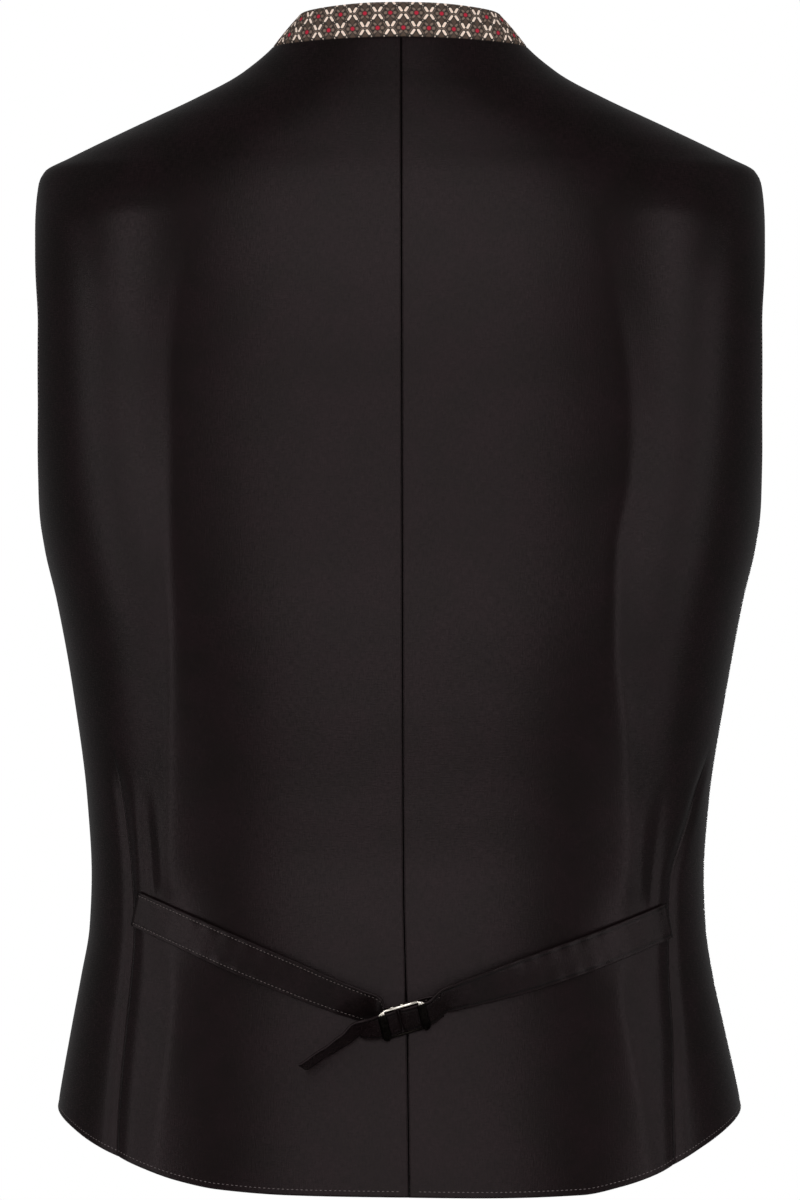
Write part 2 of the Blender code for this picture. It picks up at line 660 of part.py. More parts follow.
def straps(material, collection):
    """The left strap turns back round one inner bar and ends in the tail, and the right strap is
    sewn round the other one."""
    left = strap_stations(LEFT_STRAP)
    left += buckle_stations(LEFT_IN + round_bar(LEFT_BAR, 1) + LEFT_OUT)
    left += strap_stations(STRAP_TAIL)
    ribbon("strap_left", left, material, collection)
    right = strap_stations(RIGHT_STRAP)
    right += buckle_stations(RIGHT_IN + round_bar(RIGHT_BAR, -1)[::-1] + RIGHT_OUT)
    ribbon("strap_right", right, material, collection)


def rounded_outline(curve, left, right, bottom, top, radius, steps):
    """Add a closed outline with rounded corners to a flat curve."""
    points = []
    corners = ((right - radius, top - radius, 0), (left + radius, top - radius, 90),
               (left + radius, bottom + radius, 180), (right - radius, bottom + radius, 270))
    for x, y, start in corners:
        for step in range(steps + 1):
            angle = radians(start + 90 * step / steps)
            points.append((x + radius * cos(angle), y + radius * sin(angle), 0.0, 1.0))
    spline = curve.splines.new("POLY")
    spline.points.add(len(points) - 1)
    for point, place in zip(spline.points, points):
        point.co = place
    spline.use_cyclic_u = True


def mesh_from_curve(name, curve, collection):
    """The curve's own solid, with its caps welded on."""
    source = bpy.data.objects.new(name + "_curve", curve)
    collection.objects.link(source)
    depsgraph = bpy.context.evaluated_depsgraph_get()
    mesh = bpy.data.meshes.new_from_object(source.evaluated_get(depsgraph))
    bpy.data.objects.remove(source, do_unlink=True)
    bm = bmesh.new()
    bm.from_mesh(mesh)
    bmesh.ops.remove_doubles(bm, verts=bm.verts, dist=0.01 * MM)
    bmesh.ops.recalc_face_normals(bm, faces=bm.faces)
    bm.to_mesh(mesh)
    bm.free()
    return mesh


def buckle(material, collection):
    """Stamped slide: a rounded frame with two inner bars."""
    curve = bpy.data.curves.new("buckle_outline", "CURVE")
    curve.dimensions = "2D"
    curve.fill_mode = "BOTH"
    curve.extrude = BUCKLE_THICKNESS / 2
    half_length, half_width = BUCKLE_LENGTH / 2, BUCKLE_WIDTH / 2
    rounded_outline(curve, -half_length, half_length, -half_width, half_width, BUCKLE_CORNER, 4)
    inner_top = half_width - BUCKLE_RAIL
    bar_half = BUCKLE_RAIL / 2
    for left, right in ((-half_length + BUCKLE_RAIL, LEFT_BAR - bar_half),
                        (LEFT_BAR + bar_half, RIGHT_BAR - bar_half),
                        (RIGHT_BAR + bar_half, half_length - BUCKLE_RAIL)):
        rounded_outline(curve, left, right, -inner_top, inner_top, WINDOW_CORNER, 2)
    mesh = mesh_from_curve("buckle", curve, collection)
    made = new_object("buckle", mesh, material, collection)
    centre, along, across, facing = buckle_frame()
    turned = Matrix((along, across, facing)).transposed().to_4x4()
    made.matrix_world = Matrix.Translation(centre) @ turned
    return made


def buttons(material, collection):
    """Domed buttons in a row down centre front, each a turned profile."""
    profile_points = [(0.0, BUTTON_DOME)]
    for step in range(1, 5):
        angle = radians(90 * step / 5)
        crown = BUTTON_RIM + (BUTTON_DOME - BUTTON_RIM) * cos(angle)
        profile_points.append((BUTTON_RADIUS * sin(angle), crown))
    profile_points += [(BUTTON_RADIUS, BUTTON_RIM_FOOT), (BUTTON_RADIUS - BUTTON_UNDERCUT, 0.0), (0.0, 0.0)]
    mesh = bpy.data.meshes.new("button")
    mesh.from_pydata([(x, 0.0, z) for x, z in profile_points],
                     [(i, i + 1) for i in range(len(profile_points) - 1)], [])
    mesh.materials.append(material)
    for i in range(BUTTON_COUNT):
        height = BUTTON_TOP - i * BUTTON_PITCH
        normal = Vector(ring_normal(180.0, height))
        foot = Vector(ring_point(180.0, height)) + normal * (WALL + 2 * SEAM_GAP)
        made = bpy.data.objects.new("button_%d" % (i + 1), mesh)
        collection.objects.link(made)
        made.matrix_world = Matrix.Translation(foot) @ normal.to_track_quat("Z", "Y").to_matrix().to_4x4()
        turned = made.modifiers.new("turned", "SCREW")
        turned.axis = "Z"
        turned.angle = 2 * pi
        turned.steps = turned.render_steps = 16
        turned.use_merge_vertices = True
        turned.merge_threshold = 0.01 * MM
        turned.use_smooth_shade = True


def remove_objects():
    for old in list(bpy.data.objects):
        bpy.data.objects.remove(old, do_unlink=True)


def main():
    remove_objects()
    collection = bpy.data.collections.new(COLLECTION)
    bpy.context.scene.collection.children.link(collection)
    satin, patterned, metal, silver = (new_material(name) for name in COLOURS)
    for side in (-1, 1):
        half_back(side, satin, collection)
        front(side, patterned, collection)
    collar(patterned, collection)
    straps(satin, collection)
    buckle(metal, collection)
    buttons(silver, collection)


main()
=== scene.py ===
"""Looks of a men's trachten vest, filled out as it is worn and seen from behind.

Each panel is a surface over the same level rings as its solid: a turn from centre back and a height give
a point.  Folds, darts, seams and rounded edges then push that point in or out along the body's normal.
"""

from collections import namedtuple
from math import atan2, cos, pi, radians, sin

import bmesh
import bpy
import numpy as np
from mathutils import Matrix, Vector


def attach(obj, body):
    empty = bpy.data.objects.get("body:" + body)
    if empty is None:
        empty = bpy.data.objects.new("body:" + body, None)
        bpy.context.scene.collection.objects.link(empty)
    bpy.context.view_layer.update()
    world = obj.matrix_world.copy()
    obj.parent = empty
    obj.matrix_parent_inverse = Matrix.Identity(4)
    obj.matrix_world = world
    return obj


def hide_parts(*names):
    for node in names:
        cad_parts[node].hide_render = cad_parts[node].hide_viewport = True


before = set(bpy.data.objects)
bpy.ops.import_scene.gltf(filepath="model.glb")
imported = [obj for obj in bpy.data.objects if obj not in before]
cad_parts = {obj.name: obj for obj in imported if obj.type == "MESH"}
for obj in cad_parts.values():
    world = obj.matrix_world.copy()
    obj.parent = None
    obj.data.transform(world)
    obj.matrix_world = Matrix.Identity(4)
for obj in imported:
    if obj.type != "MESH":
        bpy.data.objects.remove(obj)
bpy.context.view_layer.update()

MM = 0.001

# Walls and gaps
WALL = 2.0 * MM
COLLAR_WALL = 2.5 * MM
STRAP_WALL = 1.2 * MM
SEAM_GAP = 0.3 * MM
EDGE_ROUND = 0.9 * MM           # how far in from an edge the cloth rounds off

# Cut lines
NECK_BACK = 34.4 * MM
NECK_SIDE = 31.5 * MM
NECK_FRONT = -48.0 * MM
NECK_HALF_WIDTH = 67.5 * MM
NECK_BACK_BEND = 1.6            # power of the back neck seam's rise towards centre back
SHOULDER_SEAM_Y = 8.0 * MM
SHOULDER_TIP = -31.4 * MM
UNDERARM = -226.0 * MM
SIDE_SEAM_Y = 14.0 * MM
SIDE_HEM = -515.0 * MM
LAP = 9.0 * MM                  # how far each front runs past centre front
LAP_STEP = (-52.0 * MM, -18.0 * MM)     # the left front rises over the right one between these places
COLLAR_HEIGHT = 25.0 * MM
COLLAR_FALL = 2.4 * MM
COLLAR_END = 1.5 * MM           # half the gap between the collar's ends
COLLAR_LEAN_BACK = 40.0         # degrees that the stand leans in, behind and at the throat
COLLAR_LEAN_FRONT = 18.0
COLLAR_GATHER = 0.16            # share by which its upper edge is shorter than its foot
COLLAR_CROWN = 0.35 * MM
CORNER_REACH = 26.0 * MM
CORNER_NARROWNESS = 26.0

# Cinch straps, buckle and buttons
STRAP_WIDTH = 18.5 * MM
BUCKLE_LENGTH = 25.0 * MM
BUCKLE_WIDTH = 23.2 * MM
BUCKLE_RAIL = 1.6 * MM
BUCKLE_THICKNESS = 1.2 * MM
BUCKLE_CORNER = 2.4 * MM
END_PLATE = 4.6 * MM            # breadth of the buckle's ends, which arch over the straps
END_RISE = 2.5 * MM
BUTTON_COUNT = 7
BUTTON_RADIUS = 7.5 * MM
BUTTON_TOP = -82.0 * MM
BUTTON_PITCH = 70.0 * MM

# Mesh density
ROWS_PER_SHARE = 8              # rows of cloth for each row of the solid
SIDE_ROWS = 13
ARMHOLE_ROWS = 10
SHOULDER_ROWS = 6
ROWS = SIDE_ROWS + ARMHOLE_ROWS + SHOULDER_ROWS
UNDERARM_SHARE = SIDE_ROWS / ROWS       # where the armhole starts on a panel's outer edge, and where it ends
TIP_SHARE = (SIDE_ROWS + ARMHOLE_ROWS) / ROWS
HEM_REACH = 0.640               # a panel's length in metres, as its rows count it at the hem and the neck
NECK_REACH = 0.320
BACK_COLUMNS = (78, 36)         # before and after the dart
FRONT_COLUMNS = (50, 60)        # before and after the line at this share of the width
FRONT_ANCHOR = 0.45
COLLAR_STATIONS = 170           # in each half, and in its part behind the shoulder seam
COLLAR_BACK_STATIONS = 70
BUCKLE_SIDES = 10
BUTTON_SIDES = 40
EDGE_LINES = (0.0, 0.1, 0.25, 0.45, 0.7, 1.0, 1.6)      # mm in from an edge
CREASE_LINES = (-3.0, -2.0, -1.2, -0.7, -0.35, 0.0, 0.35, 0.7, 1.2, 2.0, 3.0)

SIDES = {-1: "left", 1: "right"}


def table(fields, *rows):
    """Rows of numbers with named columns."""
    row_type = namedtuple("Row", fields)
    return [row_type(*row) for row in rows]


# The body that fills the vest
RINGS = table(
    "height half_width back front fullness",
    (44, 52, 44, 40, 2),
    (34.4, 63.5, 52, 47, 2),
    (26.8, 71.2, 57, 51.5, 2),
    (16.4, 85, 63.5, 57.5, 2.05),
    (6, 106.2, 70, 64, 2.1),
    (-9.6, 140.3, 79, 73, 2.15),
    (-25.2, 172.8, 87, 81.5, 2.2),
    (-31.4, 184.5, 90, 85, 2.25),
    (-38, 187.8, 93, 88, 2.28),
    (-60, 190, 101.5, 96.5, 2.35),
    (-98, 191.7, 112.5, 108, 2.42),
    (-150, 191.2, 121.5, 120, 2.45),
    (-202, 188, 125, 128.5, 2.42),
    (-228, 184.3, 124.5, 130.5, 2.4),
    (-254, 178.1, 122.5, 130.5, 2.38),
    (-306, 168.7, 115.5, 127.5, 2.32),
    (-358, 161.4, 107, 122.5, 2.28),
    (-397, 159, 102, 119.5, 2.25),
    (-423, 160, 101, 118.5, 2.22),
    (-449, 164.1, 102.5, 118.5, 2.2),
    (-475, 169.4, 106, 119.5, 2.2),
    (-514, 177, 113, 121.5, 2.2),
    (-560, 183.5, 119.5, 123.5, 2.2),
)

HEM = table(
    "turn left right",
    (0, -552.5, -552.5),
    (26, -551.8, -553.2),
    (41, -549.8, -552.6),
    (49, -546.4, -549.2),
    (56, -541.4, -544.2),
    (68, -530.9, -531.4),
    (77, -522.9, -523.2),
    (83, -519.1, -519.2),
    (90, -516.2, -516.2),
    (98, -515, -515),
    (125, -524, -524),
    (180, -548, -548),
)

ARMHOLE = table(
    "share height back_y front_y",
    (0.00, -226, 14, 14),
    (0.09, -223.2, 0, 27),
    (0.20, -210, -18, 42),
    (0.34, -184, -32, 56),
    (0.50, -150, -39, 63),
    (0.66, -114, -38, 60),
    (0.82, -76, -25, 46),
    (0.93, -48, -8, 27),
    (1.00, -31.4, 8, 8),
)

CENTRE_ROWS = table(
    "share back front",
    (0, -552.5, -548),
    (UNDERARM_SHARE, -246, -262),
    (TIP_SHARE, -54, -104),
    (1, 34.4, -48),
)

SEAM_DRIFT = table(
    "height x",
    (-553, 4.6), (-475, 3.6), (-397, 1.8), (-254, 1.2), (44, 0.5),
)
SWAY = table(
    "height x",
    (-560, 0), (-514, -0.3), (-475, -1.1), (-449, -1.5), (-423, -1.2), (-397, -1.15),
    (-358, -0.9), (-306, -0.2), (-280, 0), (44, 0),
)

DARTS = table(
    "height left right",
    (-545, 61.8, 60),
    (-508, 63.5, 62.2),
    (-465, 65, 66),
    (-424, 65.8, 67.8),
    (-400, 66.1, 68.2),
    (-364, 66.7, 73),
    (-328, 67.2, 77),
    (-200, 66, 70),
    (40, 60, 62),
)
DART_APEX = -328.0 * MM
DART_DEPTH = 1.3 * MM
DART_HALF_WIDTH = 5.0 * MM
DART_FADE = 25.0 * MM           # length over which a dart dies out below its apex
DART_SEAM_DEPTH = 0.55 * MM     # the sharp groove along its stitches
DART_SEAM_HALF_WIDTH = 0.5 * MM
STRAP_REACH = 1.1 * STRAP_WIDTH # no ridge stands this near the straps' mid-line

CREASE_SHARPNESS = 0.25
# Folds of the back: ridges (+) and troughs (-).  The inner half width is on the side of centre back.
Fold = namedtuple("Fold", "depth inner outer path")


def fold(depth, inner, outer, *path):
    """A fold with its depth and half widths in mm, and rows of (height, turn, strength)."""
    return Fold(depth * MM, inner * MM, outer * MM, table("height turn strength", *path))


BACK_FOLDS = [
    # the deep creases beside the darts: they fall gently from centre back and rise quickly again
    fold(2.6, 17.0, 9.0, (-60, -47, 0.0), (-110, -48, 0.3), (-180, -46.5, 0.6), (-254, -48, 0.9),
         (-290, -50, 1.0), (-358, -54.5, 1.0), (-395, -56, 1.0), (-425, -56, 0.6), (-462, -54.5, 0.8),
         (-520, -54, 0.45), (-545, -54, 0.3)),
    fold(2.6, 17.0, 9.0, (-50, 46, 0.0), (-100, 46.5, 0.3), (-150, 47, 0.5), (-190, 46.5, 0.7),
         (-228, 44.5, 0.9), (-275, 46.5, 1.0), (-340, 53.5, 1.0), (-385, 56.5, 1.0), (-425, 56.5, 0.6),
         (-462, 54.5, 0.8), (-520, 54.5, 0.5), (-545, 54.5, 0.3)),
    # the cloth bunches up just above the strap ends
    fold(1.0, 3.2, 2.6, (-340, -62.5, 0.0), (-368, -63.5, 0.7), (-396, -64, 1.0), (-412, -64, 0.0)),
    fold(-1.5, 2.6, 2.6, (-350, -60, 0.0), (-378, -60.5, 0.7), (-398, -60.8, 1.0), (-414, -61, 0.0)),
    fold(0.9, 3.0, 2.6, (-345, -57.5, 0.0), (-372, -58, 0.7), (-396, -58.2, 1.0), (-412, -58, 0.0)),
    fold(-1.3, 3.0, 2.8, (-345, 63, 0.0), (-380, 63, 0.7), (-402, 63, 1.0), (-418, 63, 0.0)),
    fold(0.8, 3.4, 3.0, (-350, 59, 0.0), (-380, 59.5, 0.8), (-400, 60, 1.0), (-416, 60, 0.0)),
]
FRONT_FOLDS = [
    fold(-3.0, 14.0, 18.0, (-150, -128, 0.0), (-240, -130, 0.8), (-340, -134, 1.0), (-420, -138, 0.7),
         (-500, -140, 0.2)),
    fold(-2.6, 14.0, 18.0, (-140, 129, 0.0), (-230, 131, 0.9), (-330, 133, 1.0), (-430, 136, 0.6),
         (-510, 139, 0.2)),
    fold(1.6, 10.0, 12.0, (-200, -117, 0.0), (-300, -119, 1.0), (-400, -121, 0.5), (-450, -122, 0.0)),
    fold(1.5, 10.0, 12.0, (-210, 118, 0.0), (-310, 119, 1.0), (-390, 120, 0.5), (-450, 122, 0.0)),
]

LEFT_STRAP = table(
    "x height tilt stand",
    (-134, -411, 0, 0.8),
    (-108, -421.8, 2, 0.9),
    (-83, -432.5, 6, 1.2),
    (-54, -444.3, 17, 1.4),
    (-30, -454, 32, 1.2),
    (-12, -460.6, 42, 1),
)
RIGHT_STRAP = table(
    "x height tilt stand",
    (136, -417.3, 0, 1),
    (96, -432, 5, 1),
    (67.5, -441.3, 14, 1.6),
    (38.5, -450.2, 38, 2.6),
    (22, -455.6, 51, 3.6),
)
STRAP_TAIL = table(
    "x height tilt stand",
    (-20, -470.5, 72, 4.2),
    (-31.5, -479, 82, 2.6),
    (-40.5, -484.8, 86, 1.6),
    (-47.5, -490, 87, 1.2),
)

# The straps' places in and beside the buckle, from its centre, before and after the turn round a bar
InBuckle = namedtuple("InBuckle", "along across layer")
STRAP_LAYER = (BUCKLE_THICKNESS + STRAP_WALL) / 2 / MM + SEAM_GAP / MM
LEFT_IN = [InBuckle(-7.5, 0.0, -STRAP_LAYER - 1.0)]
LEFT_OUT = [InBuckle(-8.5, 0.0, STRAP_LAYER), InBuckle(-13.0, -0.2, STRAP_LAYER - 0.2)]
RIGHT_IN = [InBuckle(13.2, 0.0, STRAP_LAYER), InBuckle(6.0, 0.0, STRAP_LAYER)]
RIGHT_OUT = [InBuckle(6.0, 0.0, -STRAP_LAYER), InBuckle(13.2, 0.0, -STRAP_LAYER), InBuckle(20.5, -0.3, -1.0)]

STRAP_STEP = 7.0 * MM
STRAP_FINE_STEP = 1.2 * MM
STRAP_EDGE_LINES = (0.0, 0.12, 0.35, 0.7, 1.2, 1.9, 2.6)        # mm in from its edges
STRAP_EDGE_STEP = 1.0 * MM
STRAP_DIMPLE = 0.16 * MM
STRAP_RIPPLE = 0.12 * MM        # its edges rise and fall a little between the stitches
STRAP_RIPPLE_PITCH = 11.0 * MM
STRAP_RIPPLE_REACH = 5.0 * MM

BUCKLE_X = 1.6 * MM
BUCKLE_HEIGHT = -464.6 * MM
BUCKLE_TURN = radians(16.0)
BUCKLE_TILT = radians(56.0)
BUCKLE_STAND = 1.4 * MM
LEFT_BAR = -4.2 * MM
RIGHT_BAR = 0.8 * MM

# The woven repeat, from one flower to the next cross beside it and above it
REPEAT_ACROSS = 6.55
REPEAT_UP = 10.7
COLLAR_FLOWER_ACROSS = 1.7 * MM
COLLAR_FLOWER_UP = 5.6 * MM

# Stitches: inset is from the cloth's edge, and lift from its face to the thread's middle
Stitch = namedtuple("Stitch", "pitch length radius inset lift")
STRAP_STITCH = Stitch(2.1 * MM, 1.5 * MM, 0.2 * MM, 1.9 * MM, -0.1 * MM)
END_STITCH = Stitch(1.5 * MM, 1.2 * MM, 0.34 * MM, 0.95 * MM, 0.0)
HEM_STITCH = Stitch(2.4 * MM, 1.4 * MM, 0.16 * MM, 2.6 * MM, 0.05 * MM)
ARMHOLE_STITCH = Stitch(2.25 * MM, 1.3 * MM, 0.22 * MM, 1.9 * MM, 0.08 * MM)
END_ROW_REACH = 19.2 * MM       # from the buckle's centre along the right strap
STITCH_DEPTH = 0.22 * MM        # of the groove that a row of stitches draws in
HEM_GROOVE = 0.18 * MM
FRONT_GROOVE_INSET = 4.0 * MM
PRESSED_RIDGE = 0.2 * MM        # the pressed seam allowance beside the centre seam
PRESSED_INSET = 1.9 * MM

BUTTON_PROFILE = (
    # share of the radius, height in mm
    (0.0, 3.5), (0.16, 3.45), (0.32, 3.25), (0.46, 2.85), (0.56, 2.35), (0.62, 2.0), (0.67, 1.9), (0.72, 2.0),
    (0.78, 2.3), (0.86, 2.4), (0.93, 2.2), (0.98, 1.75), (1.0, 1.3), (0.98, 0.8), (0.92, 0.4), (0.8, 0.1),
    (0.0, 0.0),
)

# Studio
SENSOR = 36.0
CAMERA_DISTANCE = 3.0
CAMERA_HEIGHT = -0.254
FRAME_HEIGHT = 0.624
WORLD_LIGHT = 0.16
FLOOR_HEIGHT = -0.64
FLOOR_HALF = 0.55
SOFTBOXES = table(
    "name place aim size power",
    ("back_low", (0, -3.4, -1.15), (0, 0, -0.3), (3.3, 1.3), 40),
    ("back_mid", (0, -3.5, 0.3), (0, 0, -0.3), (3.3, 1.5), 39),
    ("back_high", (0, -2.7, 1.95), (0, 0, -0.2), (2.7, 2), 51),
    ("left_low", (-2.08, -1.2, -0.5), (0, -0.05, -0.3), (0.6, 1.7), 12),
    ("left_high", (-2, -1.15, 1), (0, -0.05, -0.2), (0.6, 1.2), 9),
    ("left_edge", (-2.38, -0.4, -0.2), (0, -0.05, -0.25), (0.6, 1.8), 8),
    ("right_low", (2.08, -1.2, -0.5), (0, -0.05, -0.3), (0.6, 1.7), 11),
    ("right_high", (2, -1.15, 1), (0, -0.05, -0.2), (0.6, 1.2), 9),
    ("right_edge", (2.38, -0.4, -0.2), (0, -0.05, -0.25), (0.6, 1.8), 7),
    ("top", (0, -1.3, 2.3), (0, 0, -0.1), (2, 1), 8),
    ("front", (0.1, 3.4, -0.5), (0, 0, -0.25), (1.1, 1.7), 60),
)


# ---------------------------------------------------------------- curves and the body's form

class Profile:
    """A smooth curve through a table's rows that never overshoots them (monotone cubic Hermite)."""

    def __init__(self, places, values):
        order = np.argsort(places)
        self.places = np.asarray(places, float)[order]
        self.values = np.asarray(values, float)[order]
        slopes = np.diff(self.values) / np.diff(self.places)
        inner = np.zeros(len(slopes) - 1)
        before, after = slopes[:-1], slopes[1:]
        same_way = before * after > 0
        inner[same_way] = 2 * before[same_way] * after[same_way] / (before + after)[same_way]
        self.slopes = np.concatenate(([slopes[0]], inner, [slopes[-1]]))

    def __call__(self, place):
        place = np.clip(place, self.places[0], self.places[-1])
        i = np.clip(np.searchsorted(self.places, place, side="right") - 1, 0, len(self.places) - 2)
        step = self.places[i + 1] - self.places[i]
        t = (place - self.places[i]) / step
        return ((2 * t**3 - 3 * t**2 + 1) * self.values[i] + (t**3 - 2 * t**2 + t) * step * self.slopes[i]
                + (3 * t**2 - 2 * t**3) * self.values[i + 1] + (t**3 - t**2) * step * self.slopes[i + 1])


def profile(rows, place, value, scale=MM, place_scale=MM):
    """The profile of one named column of a table against another."""
    return Profile([getattr(row, place) * place_scale for row in rows],
                   [getattr(row, value) * scale for row in rows])


HALF_WIDTH, BACK, FRONT = (profile(RINGS, "height", name) for name in ("half_width", "back", "front"))
FULLNESS = profile(RINGS, "height", "fullness", 1.0)
DRIFT, SWAY_AT = (profile(rows, "height", "x") for rows in (SEAM_DRIFT, SWAY))


def smoothstep(low, high, value):
    t = np.clip((value - low) / (high - low), 0.0, 1.0)
    return t * t * (3 - 2 * t)


def ridge(distance, half_width):
    """1 where the distance is nothing, and less on both sides of it."""
    return np.exp(-(distance / half_width)**2)


def unit(vectors):
    return vectors / np.linalg.norm(vectors, axis=-1, keepdims=True)


def pair(first, second):
    """Two arrays as one of pairs: turn and height, or U and V."""
    return np.stack([first + 0.0 * second, second + 0.0 * first], axis=-1)


def lengths_along(points):
    """Length along a line of points, up to each of them."""
    return np.concatenate(([0.0], np.cumsum(np.linalg.norm(np.diff(points, axis=0), axis=1))))


def ring_point(turn, height):
    """Radius = ((|sin turn| / half width)^n + (|cos turn| / depth)^n)^(-1/n), n the ring's fullness."""
    angle = np.radians(turn)
    across, along = np.sin(angle), np.cos(angle)
    fullness = FULLNESS(height)
    depth = np.where(along > 0, BACK(height), FRONT(height))
    softened = sum(HALF_WIDTH(height + step * CORNER_REACH) for step in (-1, -0.5, 0, 0.5, 1)) / 5
    at_side = np.abs(across)**CORNER_NARROWNESS
    half_width = HALF_WIDTH(height) * at_side + softened * (1 - at_side)
    radius = ((np.abs(across) / half_width)**fullness
              + (np.abs(along) / depth)**fullness)**(-1.0 / fullness)
    return np.stack([radius * across + SWAY_AT(height), -radius * along, height + 0.0 * turn], axis=-1)


def ring_normal(turn, height):
    """Outward unit normal: the cross product of a small step along the ring and one up."""
    step_turn, step_height = 0.05, 0.5 * MM
    along = ring_point(turn + step_turn, height) - ring_point(turn - step_turn, height)
    up = ring_point(turn, height + step_height) - ring_point(turn, height - step_height)
    return unit(np.cross(along, up))


def turn_at_y(height, y):
    """Turn of the point beside the body, on the wearer's right, that lies at depth y."""
    fullness = FULLNESS(height)
    depth = np.where(y < 0, BACK(height), FRONT(height))
    x = HALF_WIDTH(height) * (1 - (np.abs(y) / depth)**fullness)**(1 / fullness)
    return np.degrees(np.arctan2(x, -y))


def turn_at_x(height, x, behind=True):
    """Turn of the point of the back, or of the front, that lies at x."""
    fullness = FULLNESS(height)
    depth = BACK(height) if behind else FRONT(height)
    x = x - SWAY_AT(height)
    y = depth * np.maximum(1 - (np.abs(x) / HALF_WIDTH(height))**fullness, 0)**(1 / fullness)
    return np.degrees(np.arctan2(x, y if behind else -y))


def around(turn, height, start, steps=24):
    """Length along the level ring from the start turn to this one: the sum of its chords."""
    start = start + 0.0 * turn
    turns = start[..., None] + (turn - start)[..., None] * np.linspace(0, 1, steps + 1)
    points = ring_point(turns, height[..., None] + 0.0 * turns)
    length = np.linalg.norm(np.diff(points, axis=-2), axis=-1).sum(axis=-1)
    return length * np.sign(turn - start)


def down_the_body(height, turn, steps=200):
    """Length down the body's own profile at one turn, from the shoulder to each height."""
    heights = np.linspace(0.045, -0.56, steps)
    return np.interp(-height, -heights, lengths_along(ring_point(np.full(steps, turn), heights)))


# ---------------------------------------------------------------- pieces

def linked(name, data):
    """An object in the scene that shows this data."""
    made = bpy.data.objects.new(name, data)
    bpy.context.scene.collection.objects.link(made)
    return made


def new_object(name, points, faces, material):
    """A smooth mesh at the origin, from whole arrays of points and of faces with as many corners."""
    mesh = bpy.data.meshes.new(name)
    mesh.from_pydata(points.reshape(-1, 3).tolist(), [],
                     [face for block in faces for face in block.reshape(-1, block.shape[-1]).tolist()])
    mesh.materials.append(material)
    mesh.shade_smooth()
    return linked(name, mesh)


def new_piece(name, points, faces, material, slot, node=None):
    """A shown piece that rides on the part, and the solid that it replaces, if any."""
    piece = new_object(name, points, faces, material)
    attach(piece, "root")
    if node:
        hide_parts(node)
    return piece


def edge_drop(distance, wall):
    """A rounded edge: the outer face falls to mid wall along a quarter of an ellipse."""
    inside = np.clip(distance / EDGE_ROUND, 0, 1)
    return -wall / 2 * (1 - np.sqrt(1 - (1 - inside)**2))


def cloth_wall(names, outside, inside, normal, look, uvs):
    """Closed wall: an outer grid, and an inner one that shares the outer one's border.  Names are the
    piece's and its solid's, look is its material and a slot name that is not used, and uvs are its UV maps by
    name."""
    rows, columns = outside.shape[:2]
    outer = np.arange(rows * columns).reshape(rows, columns)
    inner = outer.copy()
    inner[1:-1, 1:-1] = rows * columns + np.arange((rows - 2) * (columns - 2)).reshape(rows - 2, columns - 2)

    def quads(grid):
        corners = (grid[:-1, :-1], grid[:-1, 1:], grid[1:, 1:], grid[1:, :-1])
        return np.stack(corners, axis=-1).reshape(-1, 4)

    def both(grid):
        size = grid.shape[-1]
        return np.concatenate([grid.reshape(-1, size), grid[1:-1, 1:-1].reshape(-1, size)])

    i, j = rows // 2, columns // 2
    facing = np.cross(outside[i, j + 1] - outside[i, j], outside[i + 1, j] - outside[i, j])
    outer_quads, inner_quads = quads(outer), quads(inner)[:, ::-1]
    if np.dot(facing, normal[i, j]) < 0:
        outer_quads, inner_quads = outer_quads[:, ::-1], inner_quads[:, ::-1]
    points = both(outside)
    points[rows * columns:] = inside[1:-1, 1:-1].reshape(-1, 3)
    piece = new_piece(names[0], points, (outer_quads, inner_quads), *look, names[1])
    loop_points = np.zeros(len(piece.data.loops), int)
    piece.data.loops.foreach_get("vertex_index", loop_points)
    for map_name, uv in uvs.items():
        layer = piece.data.uv_layers.new(name=map_name)
        layer.data.foreach_set("uv", both(uv)[loop_points].ravel())
    return piece


def declare_cloth(piece, smooth):
    """Works out the widest row and the longest column of the smooth form, and keeps neither."""
    width = np.linalg.norm(np.diff(smooth, axis=1), axis=-1).sum(axis=1).max()
    length = np.linalg.norm(np.diff(smooth, axis=0), axis=-1).sum(axis=0).max()


# ---------------------------------------------------------------- panels

def outer_edge(share, y_column):
    """Side seam, armhole and shoulder seam, from the hem to the neck."""
    in_side = np.clip(share / UNDERARM_SHARE, 0, 1)
    in_hole = np.clip((share - UNDERARM_SHARE) / (TIP_SHARE - UNDERARM_SHARE), 0, 1)
    in_shoulder = np.clip((share - TIP_SHARE) / (1 - TIP_SHARE), 0, 1)
    hole_height = profile(ARMHOLE, "share", "height", place_scale=1.0)(in_hole)
    hole_y = profile(ARMHOLE, "share", y_column, place_scale=1.0)(in_hole)
    which = [share <= UNDERARM_SHARE, share > TIP_SHARE]
    height = np.select(which, [SIDE_HEM + (UNDERARM - SIDE_HEM) * in_side,
                               SHOULDER_TIP + (NECK_SIDE - SHOULDER_TIP) * in_shoulder], hole_height)
    y = np.select(which, [SIDE_SEAM_Y, SHOULDER_SEAM_Y], hole_y)
    return pair(turn_at_y(height, y), height)


def back_neck(share):
    """Height of the back neck seam, from centre back to the shoulder seam."""
    return NECK_BACK + (NECK_SIDE - NECK_BACK) * share**NECK_BACK_BEND


def front_neck():
    """Height of the front neckline by turn: a quarter of an ellipse, seen from the front."""
    angle = np.linspace(0, pi / 2, 25)
    height = NECK_SIDE - (NECK_SIDE - NECK_FRONT) * np.sin(angle)
    turns = turn_at_x(height, NECK_HALF_WIDTH * np.cos(angle), behind=False)
    turns[0] = turn_at_y(NECK_SIDE, SHOULDER_SEAM_Y)
    return Profile(turns, height)


